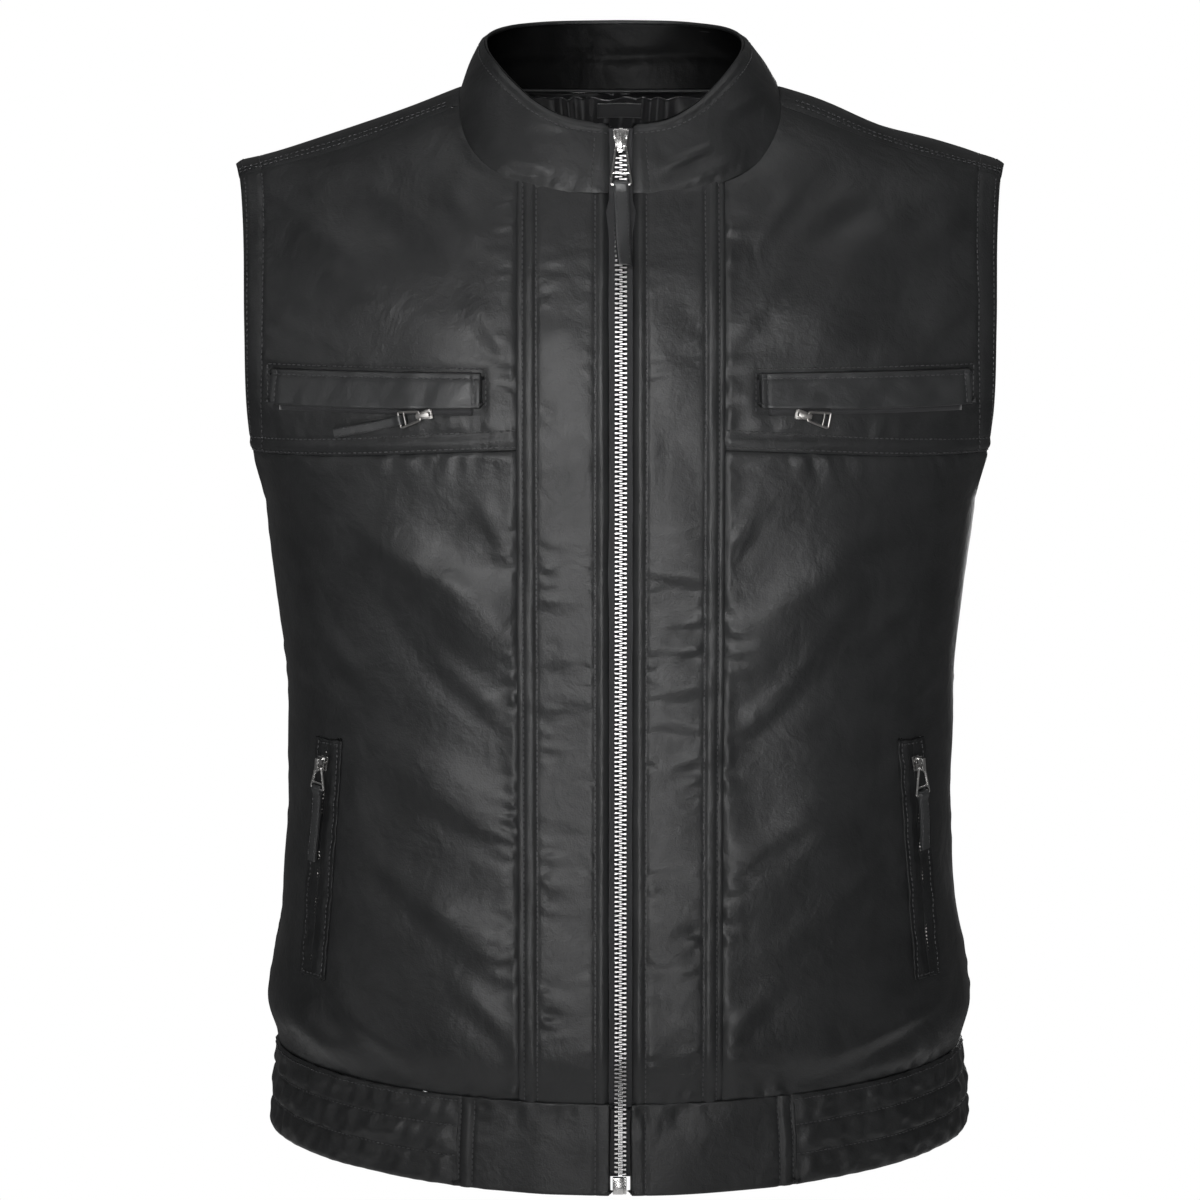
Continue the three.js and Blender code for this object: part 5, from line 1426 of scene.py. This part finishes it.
# ---- Chest pockets ----
# A broad welt of leather sewn down at its top and ends over the mouth of each chest pocket. Its lower edge
# stands off the zip beneath.
POCKET_SLIDER, SMALL_TOOTH_STEP = (6.0, 9.0, 1.2), 1.1
CHEST_INNER_X, CHEST_OUTER_X, CHEST_TOP_Z, CHEST_FOOT_Z, CHEST_ZIP_Z = 81.0, 203.0, -166.5, -185.0, -182.6
MOUTH_ROW = 3.4  # the stitches round the mouth run this far outside the welt
CHEST_SLIDER_X, CHEST_SLIDER_Z = {1: 104.0, -1: 112.0}, -189.8
small_tooth = one_tooth(2.0, SMALL_TOOTH_STEP, 0.9)
chest_pulls = {
    1: {"frame": 15, "top": 3.2, "foot": 5.2, "tip": 8},
    -1: {"frame": 14.5, "top": 3.2, "foot": 5.4, "tab": 42, "tip": 9, "bend": 0.6, "twist": -4},
}
# Painted shade: the hand pockets' lips are the same black leather, made a little darker to stand in for the
# shade over them.
painted_shade_pocket_leather = leather_look("painted_shade_pocket_leather", dark=0.85, grain=0.8, gloss=0.19)
welt_leather = leather_look("welt_leather", dark=1.4, grain=0.8, gloss=0.34)
for side, word in ((1, "left"), (-1, "right")):
    x = np.concatenate([CHEST_INNER_X + np.array([0, 1, 2, 3, 4, 5.5]), np.linspace(88, 196, 50),
                        CHEST_OUTER_X - np.array([5.5, 4, 3, 2, 1, 0])])[None, :]
    t = np.linspace(1, 0, 18)[:, None]
    ends = np.minimum(x - CHEST_INNER_X, CHEST_OUTER_X - x)
    sag = np.sin(np.pi * ((x - CHEST_INNER_X) / (CHEST_OUTER_X - CHEST_INNER_X)).clip(0, 1))
    z = CHEST_TOP_Z + (CHEST_FOOT_Z - sag - CHEST_TOP_Z) * t
    lift = (1.8 + 3.0 * t + row_groove(ends, 3.0, 0.6) + row_groove(t * 20, 2.6, 0.6)
            + 0.8 * sag * t * t)
    points, out = front_line(z, side * x, lift)
    unevenness = 0.25 * ripple(points, 14, 101 + side) + 0.35 * ripple(points, 40, 103 + side)
    points = points + out * unevenness[..., None]
    welt = cloth_piece(f"chest_welt_flap_{word}", points, out, [welt_leather, welt_leather], 1.4,
                       replaces=[f"chest_welt_{word}"],
                       turned={"foot": "fold", "top": "seam", "left": "seam", "right": "seam"})
    for k in (3, -4):
        sew(points[:, k], out[:, k])
    sew(points[15], out[15])
    row_inner_x, row_outer_x = CHEST_INNER_X - MOUTH_ROW, CHEST_OUTER_X + MOUTH_ROW
    row_top_z, row_foot_z = CHEST_TOP_Z + MOUTH_ROW, CHEST_FOOT_Z - 3
    round_mouth = [(row_inner_x, row_foot_z), (row_inner_x, row_top_z), (row_outer_x, row_top_z),
                   (row_outer_x, row_foot_z)]
    for (x1, z1), (x2, z2) in zip(round_mouth, round_mouth[1:]):
        s = np.linspace(0, 1, 60)
        path, path_out = front_line(z1 + (z2 - z1) * s, side * (x1 + (x2 - x1) * s), 0.1)
        sew(path, path_out)
    x_line = np.linspace(CHEST_INNER_X + 4, CHEST_OUTER_X - 4, 60)
    path, path_out = front_line(CHEST_ZIP_Z, side * x_line, 1.0)
    zip_across = np.zeros(path.shape)
    zip_across[:, 2] = 1
    teeth_piece(f"chest_zip_teeth_{word}", path, path_out, zip_across, small_tooth, SMALL_TOOTH_STEP, 0.2,
                painted_shade_nickel, [f"chest_zip_{word}"])
    # Partly real zip tape, partly painted shadow: the tape reaches further below the teeth than the welt
    # covers, so that its dark weave shows as a band under the welt's lower edge.
    z = CHEST_ZIP_Z + np.linspace(-7.2, 4.0, 6)[:, None]
    strip, strip_out = front_line(z, side * x_line, 0.95)
    tape = cloth_piece(f"chest_zip_tape_painted_shadow_{word}", strip, strip_out, [tape_weave], 0.5)
    slider_x = CHEST_SLIDER_X[side]
    middle, middle_out = front_line(CHEST_SLIDER_Z, side * slider_x, 4.0)
    onward, _ = front_line(CHEST_SLIDER_Z + 0.9, side * (slider_x - 4), 4.0)
    fitting(f"chest_{word}", f"chest_{word}", f"chest_pull_{word}",
            seat(middle, onward - middle, middle_out), POCKET_SLIDER, chest_pulls[side], painted_shade_nickel)

# ---- Hand pockets ----
# Two narrow lips of leather round an upright mouth in each side panel, folded at the mouth and stitched all
# round, with a small metal zip between them.
hand_pulls = {
    1: {"frame": 18, "top": 3.2, "foot": 6.4, "tab": 34, "tip": 1, "bend": 0.0, "twist": 0},
    -1: {"frame": 14.5, "top": 3.2, "foot": 6.2, "tab": 45, "tip": 0, "bend": 0.0, "twist": 0},
}
LIP_INNER, LIP_ROW, LIP_OUTER = 0.2, 6.2, 7.9
for side, word in ((1, "left"), (-1, "right")):
    t = np.linspace(1, 0, 70)
    x_line = HAND_TOP[0] + (HAND_FOOT[0] - HAND_TOP[0]) * t
    z_line = HAND_TOP[1] + (HAND_FOOT[1] - HAND_TOP[1]) * t
    for edge, low_edge, high_edge in (("inner", -LIP_OUTER, -LIP_INNER), ("outer", LIP_INNER, LIP_OUTER)):
        across = np.linspace(low_edge, high_edge, 10)
        puff = 0.7 * np.exp(-(((np.abs(across) - 3.6) / 2.0) ** 2))[None, :]
        stitch = row_groove(np.abs(across), LIP_ROW, 0.5)[None, :]
        points, out = front_line(z_line[:, None], side * (x_line[:, None] + across), 1.3 + puff + stitch)
        points = points + out * (0.45 * ripple(points, 11, 111 + side))[..., None]
        at_mouth = "left" if edge == "outer" else "right"
        cloth_piece(f"hand_lip_{edge}_{word}", points, out, [painted_shade_pocket_leather, painted_shade_pocket_leather], 1.2,
                    replaces=[f"hand_welt_{word}"] if edge == "inner" else (),
                    turned={edge_side: "fold" if edge_side == at_mouth else "seam"
                            for edge_side in ("left", "right", "foot", "top")})
        sew_columns(points, out, np.abs(across), [LIP_ROW])
    for end_t in (0.012, 0.988):
        across = np.linspace(-6.4, 6.4, 12)
        x_end, z_end = (HAND_TOP[k] + (HAND_FOOT[k] - HAND_TOP[k]) * end_t for k in (0, 1))
        path, path_out = front_line(z_end, side * (x_end + across), 2.0)
        sew(path, path_out)
    path, path_out = front_line(z_line[3:-3], side * x_line[3:-3], -0.7)
    zip_across = np.zeros(path.shape)
    zip_across[:, 0] = 1
    teeth_piece(f"hand_zip_teeth_{word}", path, path_out, zip_across, small_tooth, SMALL_TOOTH_STEP, 0.2,
                painted_shade_nickel, [f"hand_zip_{word}"])
    across = np.linspace(-4, 4, 6)
    strip, strip_out = front_line(z_line[:, None], side * (x_line[:, None] + across), 0.3)
    cloth_piece(f"hand_zip_tape_{word}", strip, strip_out, [tape_weave], 0.5)
    middle, middle_out = front_line(HAND_TOP[1] - 14, side * (HAND_TOP[0] + 1.2), 4.0)
    onward, _ = front_line(HAND_TOP[1] - 9, side * (HAND_TOP[0] + 0.8), 4.0)
    fitting(f"hand_{word}", f"hand_{word}", f"hand_pull_{word}",
            seat(middle, onward - middle, middle_out), POCKET_SLIDER, hand_pulls[side])
thread_piece("pocket_stitches")
